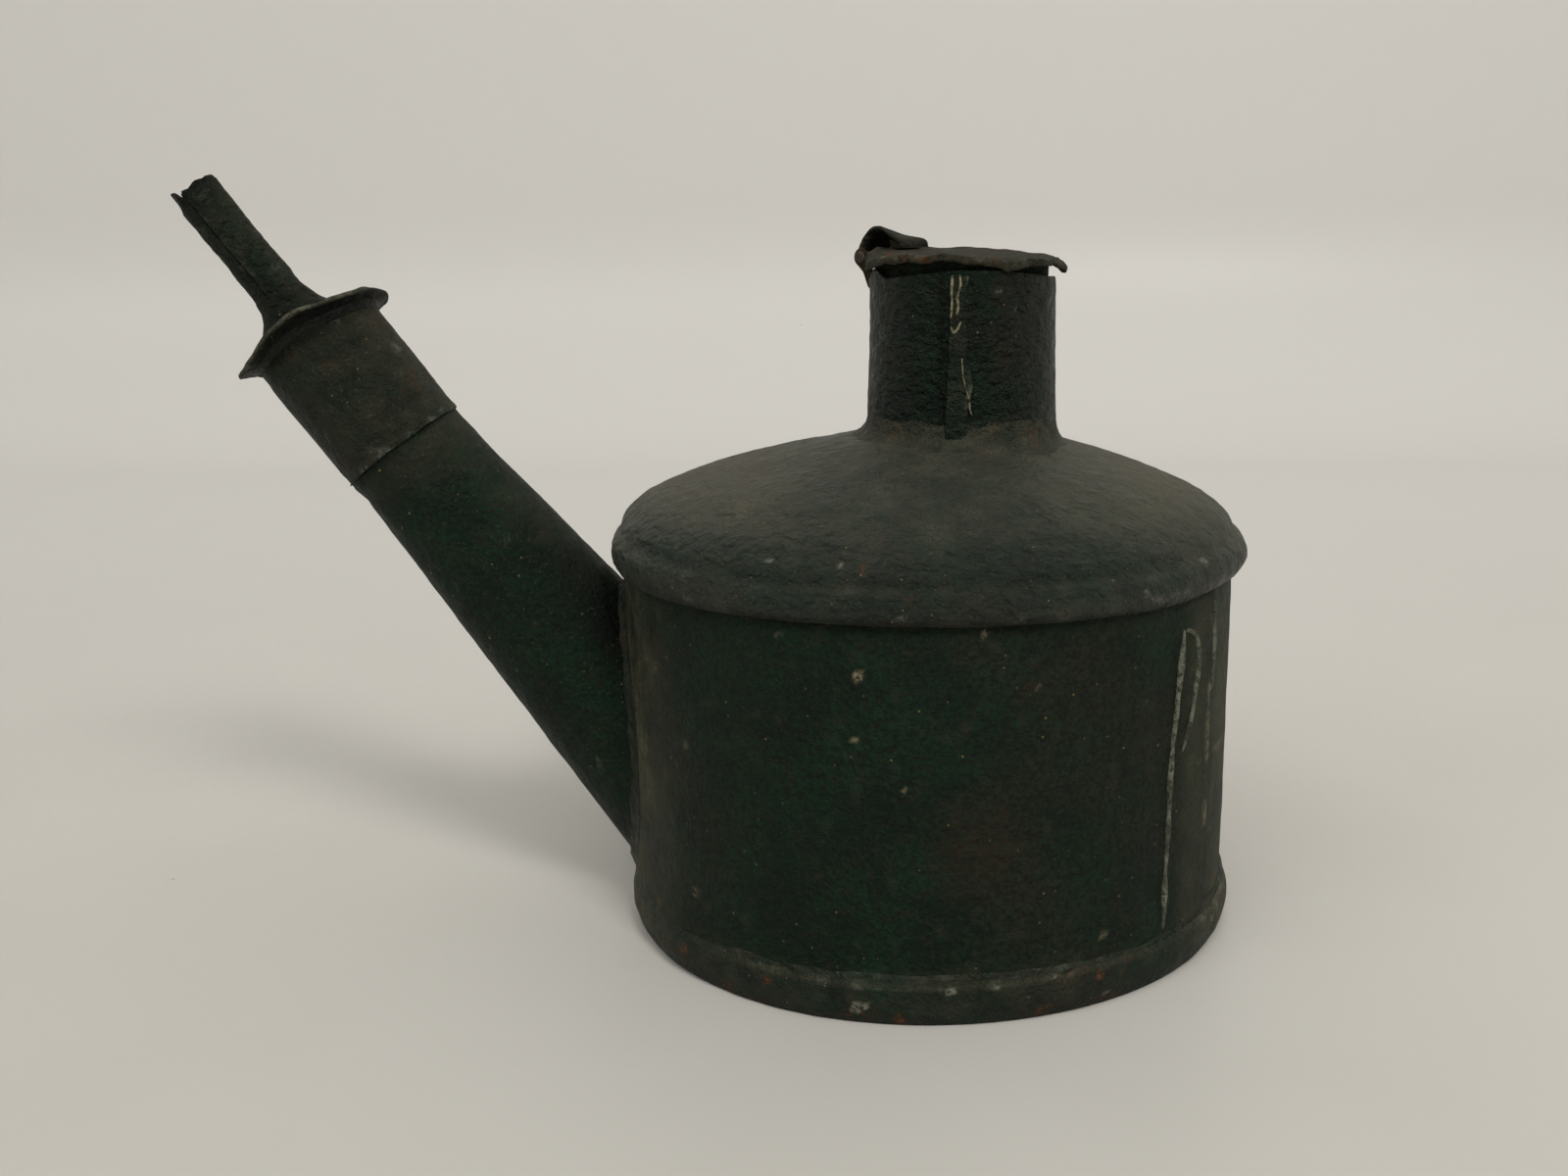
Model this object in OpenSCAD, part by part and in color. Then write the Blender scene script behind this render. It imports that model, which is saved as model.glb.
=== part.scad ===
// Spouted wick lamp of soldered tinplate: round oil tank with a domed
// shoulder, filler neck with a hinged lid, conical side spout and a
// slip-on burner (sleeve, drip flange, rolled wick tube) with a round wick.
// Units: millimetres. Origin: centre of the tank's base. +Z up, the spout
// leans towards -X.

/* [Tank] */
// Outside radius of the tank wall
tank_r = 38; // [36:0.5:41]
// Height of the top edge of the tank wall
wall_top = 46.9; // [46.5:0.1:47.2]
// Thickness of the tinplate
sheet = 0.45; // [0.35:0.05:0.5]
// Height of the turned-up rim of the base pan
pan_rim_h = 4.6; // [3.6:0.2:5]
// Radius of the rounded bottom edge of the base pan
pan_round = 1.1; // [0.6:0.1:1.4]

/* [Shoulder] */
// Radius of the widest part of the domed shoulder
bulge_r = 39.6; // [39.5:0.1:40.2]
// Height of the lower lip of the shoulder's skirt
skirt_z = 45.5; // [45:0.1:45.8]
// Height of the crown, where the filler neck stands
crown_z = 60.7; // [60:0.1:61.4]

/* [Filler neck] */
// Offset of the neck from the tank's axis, away from the spout
neck_x = 4.43; // [3.5:0.01:5.5]
// Outside radius of the neck at its root
neck_r_root = 11.72; // [11.6:0.02:11.9]
// Outside radius of the neck at its rim
neck_r_rim = 11.38; // [11.3:0.02:11.5]
// Height of the neck's rim
neck_top = 79.75; // [79:0.05:80.2]

/* [Lid and hinge] */
// Direction of the hinge about the neck, turned from the spout side
hinge_turn = -37; // [-60:1:0]
// Slope of the lid, down and away from the hinge
lid_tilt = 2.5; // [2:0.25:3]
// Radius of the lid disc
lid_r = 11.9; // [11.7:0.05:12]
// Height of the lid's underside over the neck's axis
lid_z = 82.3; // [82.1:0.05:82.5]
// Outside radius of the plug ring under the lid
plug_r = 10.6; // [10.2:0.05:10.65]
// Depth of the plug ring
plug_h = 3.1; // [2.8:0.1:3.2]
// Radius of the hinge wire
pin_r = 0.7; // [0.6:0.02:0.75]
// Width of the curled hinge strap
strap_w = 6; // [5:0.25:6.2]

/* [Spout] */
// Rise of the burner's axis above the horizontal
burner_rise = 53.92; // [53:0.02:55]
// Further slope of the conical tube, which leans a little lower
tube_droop = 2; // [1:0.1:2.5]
// Outside radius of the spout's straight end, which the sleeve slips over
spout_end_r = 7.83; // [7.8:0.01:7.85]
// Outside radius of the cone where it meets the sleeve
cone_r0 = 7.9; // [7.86:0.02:8]
// Growth of the cone's radius for each millimetre of length
cone_k = 0.075; // [0.06:0.005:0.085]
// Length of the straight end inside the sleeve
spout_end_l = 9.5; // [7:0.5:10]

/* [Burner] */
// Inside radius of the slip-on sleeve
sleeve_ri = 7.88; // [7.87:0.01:7.9]
// Wall of the sleeve
sleeve_t = 0.4; // [0.35:0.05:0.5]
// Length of the sleeve
sleeve_l = 16.6; // [15:0.2:18]
// Radius of the drip flange
flange_r = 10.6; // [10:0.1:11]
// Thickness of the drip flange
flange_t = 0.55; // [0.4:0.05:0.7]
// Slope of the flange across the sleeve
flange_tilt = 6; // [0:0.5:7]
// Outside radius of the rolled wick tube
wtube_r = 2.9; // [2.8:0.05:3.1]
// Bore radius of the wick tube
wtube_ri = 2.32; // [2.3:0.02:2.36]
// Reach of the wick tube's tip from the sleeve's mouth
wtube_end = 39.4; // [38:0.2:40]
// Width of the open seam along the wick tube
wtube_gap = 0.45; // [0.3:0.05:0.6]

/* [Wick] */
// Radius of the round wick
wick_r = 2.25; // [2.2:0.01:2.27]
// Top of the wick along the burner's axis
wick_top = 38.9; // [38:0.1:39]
// Foot of the wick along the burner's axis, down in the tank
wick_foot = -66; // [-66:0.5:-60]

/* [Hidden] */
$fn = 96;

pan_r = tank_r + sheet;
wall_ri = tank_r - sheet;
// mouth of the sleeve, the origin of the burner's own frame
P0 = [-65.47, 0, 59.55];
burner_lean = -(90 - burner_rise);
// hinge wire, in the lid's own frame: distance from the neck's axis, height
pin_x = -12.85;
pin_z = 82.2;
ear_y0 = strap_w/2 + 0.25;
ear_t = 0.5;

green = [0.10, 0.16, 0.12];
olive = [0.22, 0.22, 0.17];
lead = [0.30, 0.31, 0.28];
wire = [0.25, 0.24, 0.22];
cotton = [0.45, 0.38, 0.28];

// outline of the shoulder: radius and height, from the skirt's lip to the crown
dome_out = [[tank_r + sheet, skirt_z], [bulge_r - 0.55, skirt_z + 0.45],
            [bulge_r - 0.12, skirt_z + 1.1], [bulge_r, skirt_z + 1.9],
            [bulge_r - 0.2, skirt_z + 2.7], [38.85, 49.1], [37.9, 50.35],
            [36.8, 51.5], [35.45, 52.55], [33.9, 53.55], [32.1, 54.55],
            [30.1, 55.55], [27.5, 56.6], [24.4, 57.6], [21.2, 58.45],
            [17.6, 59.3], [14.6, 60], [11, 60.5], [6, crown_z],
            [0.01, crown_z]];

// everything under the shoulder's outer surface
module dome_solid() {
    rotate_extrude() polygon(concat([for (p = dome_out) [p[0] < 0.1 ? 0 : p[0], p[1]]], [[0, skirt_z]]));
}

// hollow of the shoulder: straight where it grips the wall, domed above
module dome_hollow() {
    rotate_extrude()
        polygon(concat(
            [[0, skirt_z - 1], [tank_r, skirt_z - 1], [tank_r, skirt_z + 0.75],
             [bulge_r - 0.12 - sheet, skirt_z + 1.35]],
            [for (i = [3:len(dome_out) - 1]) [max(dome_out[i][0] - sheet*(i < 9 ? 1 : 0.55), 0), dome_out[i][1] - sheet*(i < 5 ? 0 : (i < 9 ? 0.55 : 1))]]));
}

// flat pie slice between two directions
module sector(a0, a1, r, h) {
    linear_extrude(h)
        polygon(concat([[0, 0]], [for (i = [0:8]) let (a = a0 + (a1 - a0)*i/8) [r*cos(a), r*sin(a)]]));
}

module ring(ro, ri, z0, z1) {
    translate([0, 0, z0]) difference() {
        cylinder(r = ro, h = z1 - z0);
        translate([0, 0, -1]) cylinder(r = ri, h = z1 - z0 + 2);
    }
}

// burner frame: z runs up the wick tube from the sleeve's mouth
module burner_frame() { translate(P0) rotate([0, burner_lean, 0]) children(); }
module cone_frame() { translate(P0) rotate([0, burner_lean - tube_droop, 0]) children(); }

// lid frame: the hinge lies towards -x, its wire along y
module lid_frame() { translate([neck_x, 0, 0]) rotate([0, 0, hinge_turn]) children(); }
module tilted() { lid_frame() translate([0, 0, lid_z]) rotate([0, lid_tilt, 0]) children(); }

module spout_cone(grow, z1 = -0.4, z0 = -78) {
    translate([0, 0, z0])
        cylinder(r1 = cone_r0 - cone_k*z0 + grow, r2 = cone_r0 - cone_k*z1 + grow, h = z1 - z0);
}

// the passage through the spout, from inside the tank to its open end
module spout_bore() {
    cone_frame() spout_cone(-sheet);
    burner_frame() translate([0, 0, -1.2]) cylinder(r = spout_end_r - sheet, h = spout_end_l + 4);
}

module neck_cone(grow, z0, z1) {
    k = (neck_r_rim - neck_r_root)/(neck_top - crown_z);
    translate([neck_x, 0, z0])
        cylinder(r1 = neck_r_root + k*(z0 - crown_z) + grow, r2 = neck_r_root + k*(z1 - crown_z) + grow, h = z1 - z0);
}

// ---- tank ----

module base_pan() color(olive) {
    difference() {
        rotate_extrude()
            polygon(concat([[0, 0], [pan_r - pan_round, 0]],
                [for (a = [-75:15:0]) [pan_r - pan_round + pan_round*cos(a), pan_round + pan_round*sin(a)]],
                [[pan_r, pan_rim_h], [0, pan_rim_h]]));
        translate([0, 0, sheet]) cylinder(r = tank_r, h = pan_rim_h + 2);
    }
}

module body_wall() color(green) {
    difference() {
        ring(tank_r, wall_ri, sheet, wall_top);
        spout_bore();
    }
}

// solder along the lap seam of the wall, two runs that join at the top
module body_seam_solder() color(lead) {
    intersection() {
        ring(tank_r + 0.3, tank_r, pan_rim_h + 0.6, skirt_z - 0.6);
        union() {
            translate([0, 0, pan_rim_h]) sector(-45.8, -44.2, 60, 37);
            translate([0, 0, 27]) sector(-39.2, -38, 60, 14.5);
            translate([0, 0, 40.3]) sector(-45.8, -38, 60, 1.4);
        }
    }
}

// fillet of solder along the top of the base pan's rim
module base_solder() color(lead) {
    difference() {
        rotate_extrude() polygon([[tank_r, pan_rim_h], [tank_r + sheet, pan_rim_h], [tank_r, pan_rim_h + 0.5]]);
        cone_frame() spout_cone(1.5);
    }
}

module shoulder_dome() color(green) {
    difference() {
        dome_solid();
        dome_hollow();
        translate([neck_x, 0, 40]) cylinder(r = neck_r_root - sheet, h = 40);
    }
}

// fillet of solder under the skirt's lip
module shoulder_solder() color(lead) {
    rotate_extrude() polygon([[tank_r, skirt_z - 0.5], [tank_r + sheet - 0.03, skirt_z], [tank_r, skirt_z]]);
}

module filler_neck() color(green) {
    difference() {
        neck_cone(0, 57, neck_top);
        neck_cone(-sheet, 56, neck_top + 1);
        dome_solid();
    }
}

// solder run down the neck's lap seam, at the front
module neck_seam_solder() color(lead) {
    difference() {
        intersection() {
            neck_cone(0.25, 62.6, neck_top - 0.2);
            translate([neck_x, 0, 60]) sector(-103, -91, 20, 25);
        }
        neck_cone(0, 56, neck_top + 1);
    }
}

module neck_solder() color(lead) {
    difference() {
        translate([neck_x, 0, 0]) rotate_extrude()
            polygon([[neck_r_root - 0.6, 58], [neck_r_root + 1.3, 58], [neck_r_root + 1.3, 60.3],
                     [neck_r_root + 0.55, 60.9], [neck_r_root + 0.2, 61.6], [neck_r_root - 0.1, 62.5],
                     [neck_r_root - 0.6, 62.5]]);
        neck_cone(0, 56, 70);
        dome_solid();
    }
}

// ---- spout ----

module spout_tube() color(green) {
    difference() {
        union() {
            cone_frame() spout_cone(0);
            burner_frame() translate([0, 0, -1]) cylinder(r = spout_end_r, h = spout_end_l + 1);
        }
        spout_bore();
        cylinder(r = tank_r, h = 120, center = true);
        translate([0, 0, -1]) cylinder(r = pan_r, h = pan_rim_h + 1);
    }
}

// solder along the spout's seam, low on the near side
module spout_seam_solder() color(lead) {
    difference() {
        cone_frame() intersection() {
            spout_cone(0.25, -1.2, -52);
            translate([0, 0, -60]) sector(196, 204, 30, 60);
        }
        cone_frame() spout_cone(0);
    }
}

// collar of solder that joins the spout to the wall
module spout_root_solder() color(lead) {
    difference() {
        intersection() {
            cone_frame() spout_cone(1.2);
            translate([0, 0, 2]) ring(tank_r + 1.1, tank_r, 0, 44);
        }
        cone_frame() spout_cone(0);
        translate([0, 0, -1]) cylinder(r = pan_r + 1.2, h = pan_rim_h + 1.05);
    }
}

// ---- hinge ----

module ear() {
    rotate([90, 0, 0]) translate([0, 0, -ear_t/2]) linear_extrude(ear_t) union() {
        polygon([[-10.6, 76], [-11.78, 76], [-11.78, 80.3], [-13.55, 81.3], [-13.75, 81.6],
                 [pin_x, pin_z], [-11.78, 81.85], [-11.2, 81.1], [-11.2, neck_top + 0.25], [-10.6, neck_top + 0.25]]);
        translate([pin_x, pin_z]) circle(r = 1.1);
    }
}

module hinge_bracket() color(olive) {
    difference() {
        union() {
            lid_frame() for (s = [-1, 1]) translate([0, s*(ear_y0 + ear_t/2), 0]) ear();
            intersection() {
                neck_cone(0.45, 76, neck_top);
                lid_frame() translate([0, 0, 75]) sector(180 - 18, 180 + 18, 30, 8);
            }
        }
        neck_cone(0, 60, neck_top + 2);
        lid_frame() translate([pin_x, 20, pin_z]) rotate([90, 0, 0]) cylinder(r = pin_r, h = 40);
    }
}

module hinge_pin() color(wire) {
    lid_frame() translate([pin_x, 0, pin_z]) rotate([90, 0, 0])
        cylinder(r = pin_r, h = 2*(ear_y0 + ear_t + 0.35), center = true);
}

// ---- lid ----

module lid_disc() color(olive) {
    tilted() {
        cylinder(r = lid_r, h = sheet + 0.05);
        // thumb tab
        rotate([0, 0, 25]) {
            translate([11, -1.6, 0]) cube([1.4, 3.2, sheet + 0.05]);
            translate([12.2, 0, 0]) intersection() {
                cylinder(r = 1.6, h = sheet + 0.05);
                translate([0, -2, -1]) cube([4, 4, 3]);
            }
        }
    }
}

module lid_plug_ring() color(olive) {
    tilted() ring(plug_r, plug_r - sheet, -plug_h, 0);
}

// centre line of the strap, in the plane across the hinge wire
strap_pts = [[-7.1, 83.38], [-8.1, 83.46], [-8.85, 83.75], [-9.35, 84.3], [-9.8, 84.85], [-10.35, 85.12],
             [-10.95, 85.05], [-11.55, 84.78], [-12.35, 84.15], [-13.0, 83.48]];
strap_t = 0.5;

function seg_n(a, b) = let (d = b - a, l = norm(d)) [-d[1]/l, d[0]/l];
function pt_n(i, p) = let (n = len(p),
    u = i == 0 ? seg_n(p[0], p[1]) : (i == n - 1 ? seg_n(p[n-2], p[n-1]) : seg_n(p[i-1], p[i]) + seg_n(p[i], p[i+1])))
    u/norm(u);

module strap_2d() {
    r = pin_r + 0.08;
    difference() {
        polygon(concat([for (i = [0:len(strap_pts) - 1]) strap_pts[i] + pt_n(i, strap_pts)*strap_t/2],
                       [for (a = [140:20:300]) [pin_x + (r - 0.2)*cos(a), pin_z + (r - 0.2)*sin(a)]],
                       [for (a = [300:-9:138]) [pin_x + (r + strap_t)*cos(a), pin_z + (r + strap_t)*sin(a)]],
                       [for (i = [len(strap_pts) - 1:-1:0]) strap_pts[i] - pt_n(i, strap_pts)*strap_t/2]));
        translate([pin_x, pin_z]) circle(r = r);
    }
}

module lid_hinge_strap() color(olive) {
    difference() {
        lid_frame() rotate([90, 0, 0]) translate([0, 0, -strap_w/2]) linear_extrude(strap_w) strap_2d();
        tilted() translate([0, 0, -1]) cylinder(r = lid_r, h = 1 + sheet + 0.05);
    }
}

// wedge of solder under the strap's foot
module lid_strap_solder() color(lead) {
    difference() {
        lid_frame() rotate([90, 0, 0]) translate([0, 0, -strap_w/2 + 0.4]) linear_extrude(strap_w - 0.8)
            difference() {
                polygon([[-7.3, 83.0], [-7.3, 83.5], [-8.9, 84.1], [-9.7, 83.5], [-10.1, 83.0]]);
                polygon(concat([for (i = [0:len(strap_pts) - 1]) strap_pts[i] + pt_n(i, strap_pts)*strap_t/2],
                               [[-13, 90], [-6, 90], [-6, 83.1]]));
            }
        tilted() translate([0, 0, -2]) cylinder(r = lid_r + 3, h = 2 + sheet + 0.05);
    }
}

// ---- burner ----

// plane of the flange's underside
module cap_frame() { translate([0, 0, sleeve_l]) rotate([0, flange_tilt, 0]) children(); }

module burner_sleeve() color(green) {
    burner_frame() difference() {
        ring(sleeve_ri + sleeve_t, sleeve_ri, 0, sleeve_l + 2);
        cap_frame() cylinder(r = 20, h = 8);
    }
}

module sleeve_seam_solder() color(lead) {
    burner_frame() intersection() {
        ring(sleeve_ri + sleeve_t + 0.25, sleeve_ri + sleeve_t, 0.3, sleeve_l - 0.8);
        sector(196, 205, 30, 60);
    }
}

module drip_flange() color(olive) {
    burner_frame() difference() {
        cap_frame() cylinder(r = flange_r, h = flange_t);
        cylinder(r = wtube_r, h = 40);
    }
}

module flange_solder() color(lead) {
    burner_frame() intersection() {
        ring(sleeve_ri + sleeve_t + 0.6, sleeve_ri + sleeve_t, sleeve_l - 3, sleeve_l + 2);
        cap_frame() translate([0, 0, -0.6]) cylinder(r = 20, h = 0.6);
    }
}

module wick_tube() color(green) {
    burner_frame() difference() {
        ring(wtube_r, wtube_ri, sleeve_l - 3.5, wtube_end);
        rotate([0, 0, -10]) translate([-wtube_gap/2, -wtube_r - 1, sleeve_l + 3.8]) cube([wtube_gap, wtube_r, 30]);
    }
}

// flared fillet of solder at the foot of the wick tube
module wick_tube_solder() color(lead) {
    z = flange_t;
    burner_frame() difference() {
        cap_frame() rotate_extrude()
            polygon([[1, z], [wtube_r + 4.2, z], [wtube_r + 4.1, z + 0.15], [wtube_r + 2.9, z + 0.5],
                     [wtube_r + 1.9, z + 1.1], [wtube_r + 1.1, z + 2], [wtube_r + 0.6, z + 3.1],
                     [wtube_r + 0.45, z + 3.9], [1, z + 3.9]]);
        cylinder(r = wtube_r, h = 60);
    }
}

// ---- wick ----

module wick() color(cotton) {
    burner_frame() translate([0, 0, wick_foot]) {
        cylinder(r = wick_r, h = wick_top - wick_foot - 0.6);
        translate([0, 0, wick_top - wick_foot - 0.6]) cylinder(r1 = wick_r, r2 = wick_r - 0.6, h = 0.6);
    }
}

base_pan();
body_wall();
body_seam_solder();
base_solder();
shoulder_dome();
shoulder_solder();
filler_neck();
neck_seam_solder();
neck_solder();
spout_tube();
spout_seam_solder();
spout_root_solder();
hinge_bracket();
hinge_pin();
lid_disc();
lid_plug_ring();
lid_hinge_strap();
lid_strap_solder();
burner_sleeve();
sleeve_seam_solder();
drip_flange();
flange_solder();
wick_tube();
wick_tube_solder();
wick();
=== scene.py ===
"""Looks of the spouted wick lamp: soldered tinplate under old dark green paint.
Lengths inside the script are in millimetres and are turned into metres as each mesh is made."""

import math

import bpy
import numpy as np
from mathutils import Euler, Matrix, Vector


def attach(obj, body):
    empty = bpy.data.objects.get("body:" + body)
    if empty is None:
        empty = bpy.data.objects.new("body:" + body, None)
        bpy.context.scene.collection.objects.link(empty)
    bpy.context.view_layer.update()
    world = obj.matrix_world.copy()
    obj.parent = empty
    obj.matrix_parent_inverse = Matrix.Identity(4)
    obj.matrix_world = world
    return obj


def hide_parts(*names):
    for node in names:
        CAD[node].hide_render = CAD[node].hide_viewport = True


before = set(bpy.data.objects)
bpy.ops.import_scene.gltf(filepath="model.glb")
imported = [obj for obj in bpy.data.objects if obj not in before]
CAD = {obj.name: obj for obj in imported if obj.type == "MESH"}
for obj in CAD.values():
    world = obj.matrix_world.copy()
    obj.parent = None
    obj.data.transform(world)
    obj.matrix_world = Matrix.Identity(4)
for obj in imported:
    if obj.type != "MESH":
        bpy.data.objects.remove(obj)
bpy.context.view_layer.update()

STEP = 0.5

# ---------------------------------------------------------------- sizes (mm), as in the CAD source
TANK_R, SHEET, WALL_TOP = 38.0, 0.45, 46.9
PAN_R, PAN_H = 38.45, 4.6
SKIRT_Z = 45.5
NECK_X, NECK_TOP = 4.43, 79.75
NECK_K = (11.38 - 11.72) / (79.75 - 60.7)
P0 = np.array([-65.47, 0.0, 59.55])
LEAN = math.radians(-36.08)
CONE_LEAN = math.radians(-38.08)
HINGE_TURN = math.radians(-37.0)
LID_TILT = math.radians(2.5)
LID_Z = 82.3
PIN_X, PIN_Z = -12.85, 82.2
CAP_TILT = math.radians(6.0)
SLEEVE_L = 16.6
DOME = np.array(
    [[38.45, 45.5], [39.05, 45.95], [39.48, 46.6], [39.6, 47.4], [39.4, 48.2], [38.85, 49.1], [37.9, 50.35],
     [36.8, 51.5], [35.45, 52.55], [33.9, 53.55], [32.1, 54.55], [30.1, 55.55], [27.5, 56.6], [24.4, 57.6],
     [21.2, 58.45], [17.6, 59.3], [14.6, 60.0], [11.0, 60.5], [6.0, 60.7], [0.0, 60.7]])

# ---------------------------------------------------------------- noise
_rng = np.random.RandomState(11)
_PERM = _rng.permutation(512)
_GRAD = _rng.normal(size=(512, 3))
_GRAD /= np.linalg.norm(_GRAD, axis=1)[:, None]


def noise(P, size, seed=0):
    """Gradient noise, about -1 to 1, with cells of the given size."""
    X = np.asarray(P, float) / np.asarray(size, float) + np.array([13.71, 7.37, 3.19]) * (seed + 1)
    i = np.floor(X).astype(np.int64)
    f = X - i
    u = f * f * f * (f * (f * 6 - 15) + 10)
    total = np.zeros(X.shape[:-1])
    for dx in (0, 1):
        for dy in (0, 1):
            for dz in (0, 1):
                h = _PERM[(_PERM[(_PERM[(i[..., 0] + dx) & 511] + i[..., 1] + dy) & 511] + i[..., 2] + dz) & 511]
                d = f - np.array([dx, dy, dz])
                w = ((u[..., 0] if dx else 1 - u[..., 0]) * (u[..., 1] if dy else 1 - u[..., 1])
                     * (u[..., 2] if dz else 1 - u[..., 2]))
                total += w * (_GRAD[h] * d).sum(-1)
    return total * 1.7


def fbm(P, size, seed=0, octaves=3):
    return sum(noise(P, np.asarray(size, float) / 2 ** k, seed + k) * 0.5 ** k for k in range(octaves))


def sstep(x, a, b):
    t = np.clip((np.asarray(x, float) - a) / (b - a), 0, 1)
    return t * t * (3 - 2 * t)


def bump(x, c, w):
    """Smooth hill of half-width w about c."""
    return 1 - sstep(np.abs(np.asarray(x, float) - c), 0, w)


def wrap(a):
    return (a + 180) % 360 - 180


def dens(pts, step):
    """The same path with points no further apart than step."""
    pts = np.asarray(pts, float)
    out = [pts[0]]
    for a, b in zip(pts[:-1], pts[1:]):
        n = max(1, int(math.ceil(np.linalg.norm(b - a) / step)))
        out += [a + (b - a) * i / n for i in range(1, n + 1)]
    return np.array(out)


def soften(pts, times=2):
    pts = pts.copy()
    for _ in range(times):
        pts[1:-1] = (pts[:-2] + 2 * pts[1:-1] + pts[2:]) / 4
    return pts


# ---------------------------------------------------------------- frames
def axes(lean):
    return np.array([[math.cos(lean), 0, -math.sin(lean)], [0, 1, 0], [math.sin(lean), 0, math.cos(lean)]])


def from_burner(P):
    return P @ axes(LEAN) + P0


def to_burner(P):
    return (P - P0) @ axes(LEAN).T


def from_cone(P):
    return P @ axes(CONE_LEAN) + P0


def to_cone(P):
    return (P - P0) @ axes(CONE_LEAN).T


def cap_to_burner(P):
    """From the flange's tilted plane to the burner's frame."""
    return P @ axes(CAP_TILT) + np.array([0, 0, SLEEVE_L])


def from_lid(P):
    """From the hinge's frame (hinge towards -x) to the world."""
    c, s = math.cos(HINGE_TURN), math.sin(HINGE_TURN)
    return P @ np.array([[c, s, 0], [-s, c, 0], [0, 0, 1]]) + np.array([NECK_X, 0, 0])


def from_tilted(P):
    return from_lid(P @ axes(LID_TILT) + np.array([0, 0, LID_Z]))


# ---------------------------------------------------------------- meshes
class Skin:
    """A closed skin made from a grid of points: rows k along, columns j round (always closed)."""

    def __init__(self, P, close_k=False, cap0=None, cap1=None):
        nk, nj = P.shape[:2]
        self.nk, self.nj = nk, nj
        V = P.reshape(-1, 3)
        k = np.arange(nk if close_k else nk - 1)[:, None]
        j = np.arange(nj)[None]
        k2, j2 = (k + 1) % nk, (j + 1) % nj
        quads = [np.stack([k * nj + j, k * nj + j2, k2 * nj + j2, k2 * nj + j], -1).reshape(-1, 4)]
        tris = []
        for cap, row, last in ((cap0, 0, False), (cap1, nk - 1, True)):
            r = row * nj + np.arange(nj)
            if cap == "fan":
                V = np.vstack([V, V[r].mean(0)])
                t = np.stack([r, np.roll(r, -1), np.full(nj, len(V) - 1)], -1)
                tris.append(t if last else t[:, ::-1])
            elif cap == "strip":
                i = np.arange(nj // 2 - 1)
                q = np.stack([r[i], r[i + 1], r[nj - 2 - i], r[nj - 1 - i]], -1)
                quads.append(q if last else q[:, ::-1])
        self.V = V
        self.Q = np.vstack(quads)
        self.T = np.vstack(tris) if tris else np.zeros((0, 3), int)
        self.orient()

    def faces3(self):
        return np.vstack([self.Q[:, [0, 1, 2]], self.Q[:, [0, 2, 3]], self.T])

    def orient(self):
        F = self.faces3()
        a, b, c = self.V[F[:, 0]], self.V[F[:, 1]], self.V[F[:, 2]]
        if np.einsum("ij,ij->i", a, np.cross(b, c)).sum() < 0:
            self.Q, self.T = self.Q[:, ::-1], self.T[:, ::-1]

    def normals(self):
        F = self.faces3()
        a, b, c = self.V[F[:, 0]], self.V[F[:, 1]], self.V[F[:, 2]]
        n = np.cross(b - a, c - a)
        N = np.zeros_like(self.V)
        for i in range(3):
            np.add.at(N, F[:, i], n)
        return N / np.maximum(np.linalg.norm(N, axis=1), 1e-12)[:, None]

    def rows(self, values):
        """One value for each row, given to each vertex."""
        out = np.repeat(np.asarray(values, float), self.nj)
        return np.concatenate([out, np.zeros(len(self.V) - len(out))])

    def push(self, h):
        self.V = self.V + self.normals() * np.asarray(h)[:, None]
        return self


def piece(name, skin, body, mat, replaces=(), angle=38, attrs=None):
    me = bpy.data.meshes.new(name)
    me.from_pydata((skin.V * 0.001).tolist(), [], skin.Q.tolist() + skin.T.tolist())
    me.validate()
    me.update()
    for key, values in (attrs or {}).items():
        a = me.attributes.new(key, "FLOAT", "POINT")
        a.data.foreach_set("value", np.clip(values, 0, 1).astype(np.float32))
    me.shade_smooth()
    me.set_sharp_from_angle(angle=math.radians(angle))
    o = bpy.data.objects.new(name, me)
    bpy.context.scene.collection.objects.link(o)
    o.data.materials.append(mat)
    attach(o, body)
    if replaces:
        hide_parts(*replaces)
    return o


def turn(profile, nj, centre=(0, 0), phase=0.0):
    """Rows of a turned shape from (radius, height) points."""
    a = 2 * math.pi * np.arange(nj) / nj + phase
    r, z = profile[:, 0][:, None], profile[:, 1][:, None]
    return np.stack([centre[0] + r * np.cos(a), centre[1] + r * np.sin(a), z + 0 * a], -1)


def around(r):
    return int(2 * math.pi * r / STEP)


def bead(path, up, width, height, sink=0.25, n=10, fan=True):
    """A run of solder along a path: half-oval section, up is the surface's normal at each point,
    width and height may change along it."""
    path, up = np.asarray(path, float), np.asarray(up, float)
    width = np.broadcast_to(np.asarray(width, float), (len(path),))
    height = np.broadcast_to(np.asarray(height, float), (len(path),))
    along = np.gradient(path, axis=0)
    along /= np.linalg.norm(along, axis=1)[:, None]
    side = np.cross(along, up)
    side /= np.linalg.norm(side, axis=1)[:, None]
    rows = []
    top = np.linspace(0, math.pi, n)
    for i in range(len(path)):
        w, h = width[i] / 2, height[i]
        ring = [path[i] + side[i] * w * math.cos(t) + up[i] * h * math.sin(t) for t in top]
        ring += [path[i] - side[i] * w * 0.75 - up[i] * sink, path[i] + side[i] * w * 0.75 - up[i] * sink]
        rows.append(ring)
    return Skin(np.array(rows), cap0="fan", cap1="fan")


def tapered(n, ends=0.12):
    t = np.linspace(0, 1, n)
    return np.sqrt(np.clip(np.minimum(t, 1 - t) / ends, 0.02, 1))


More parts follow.
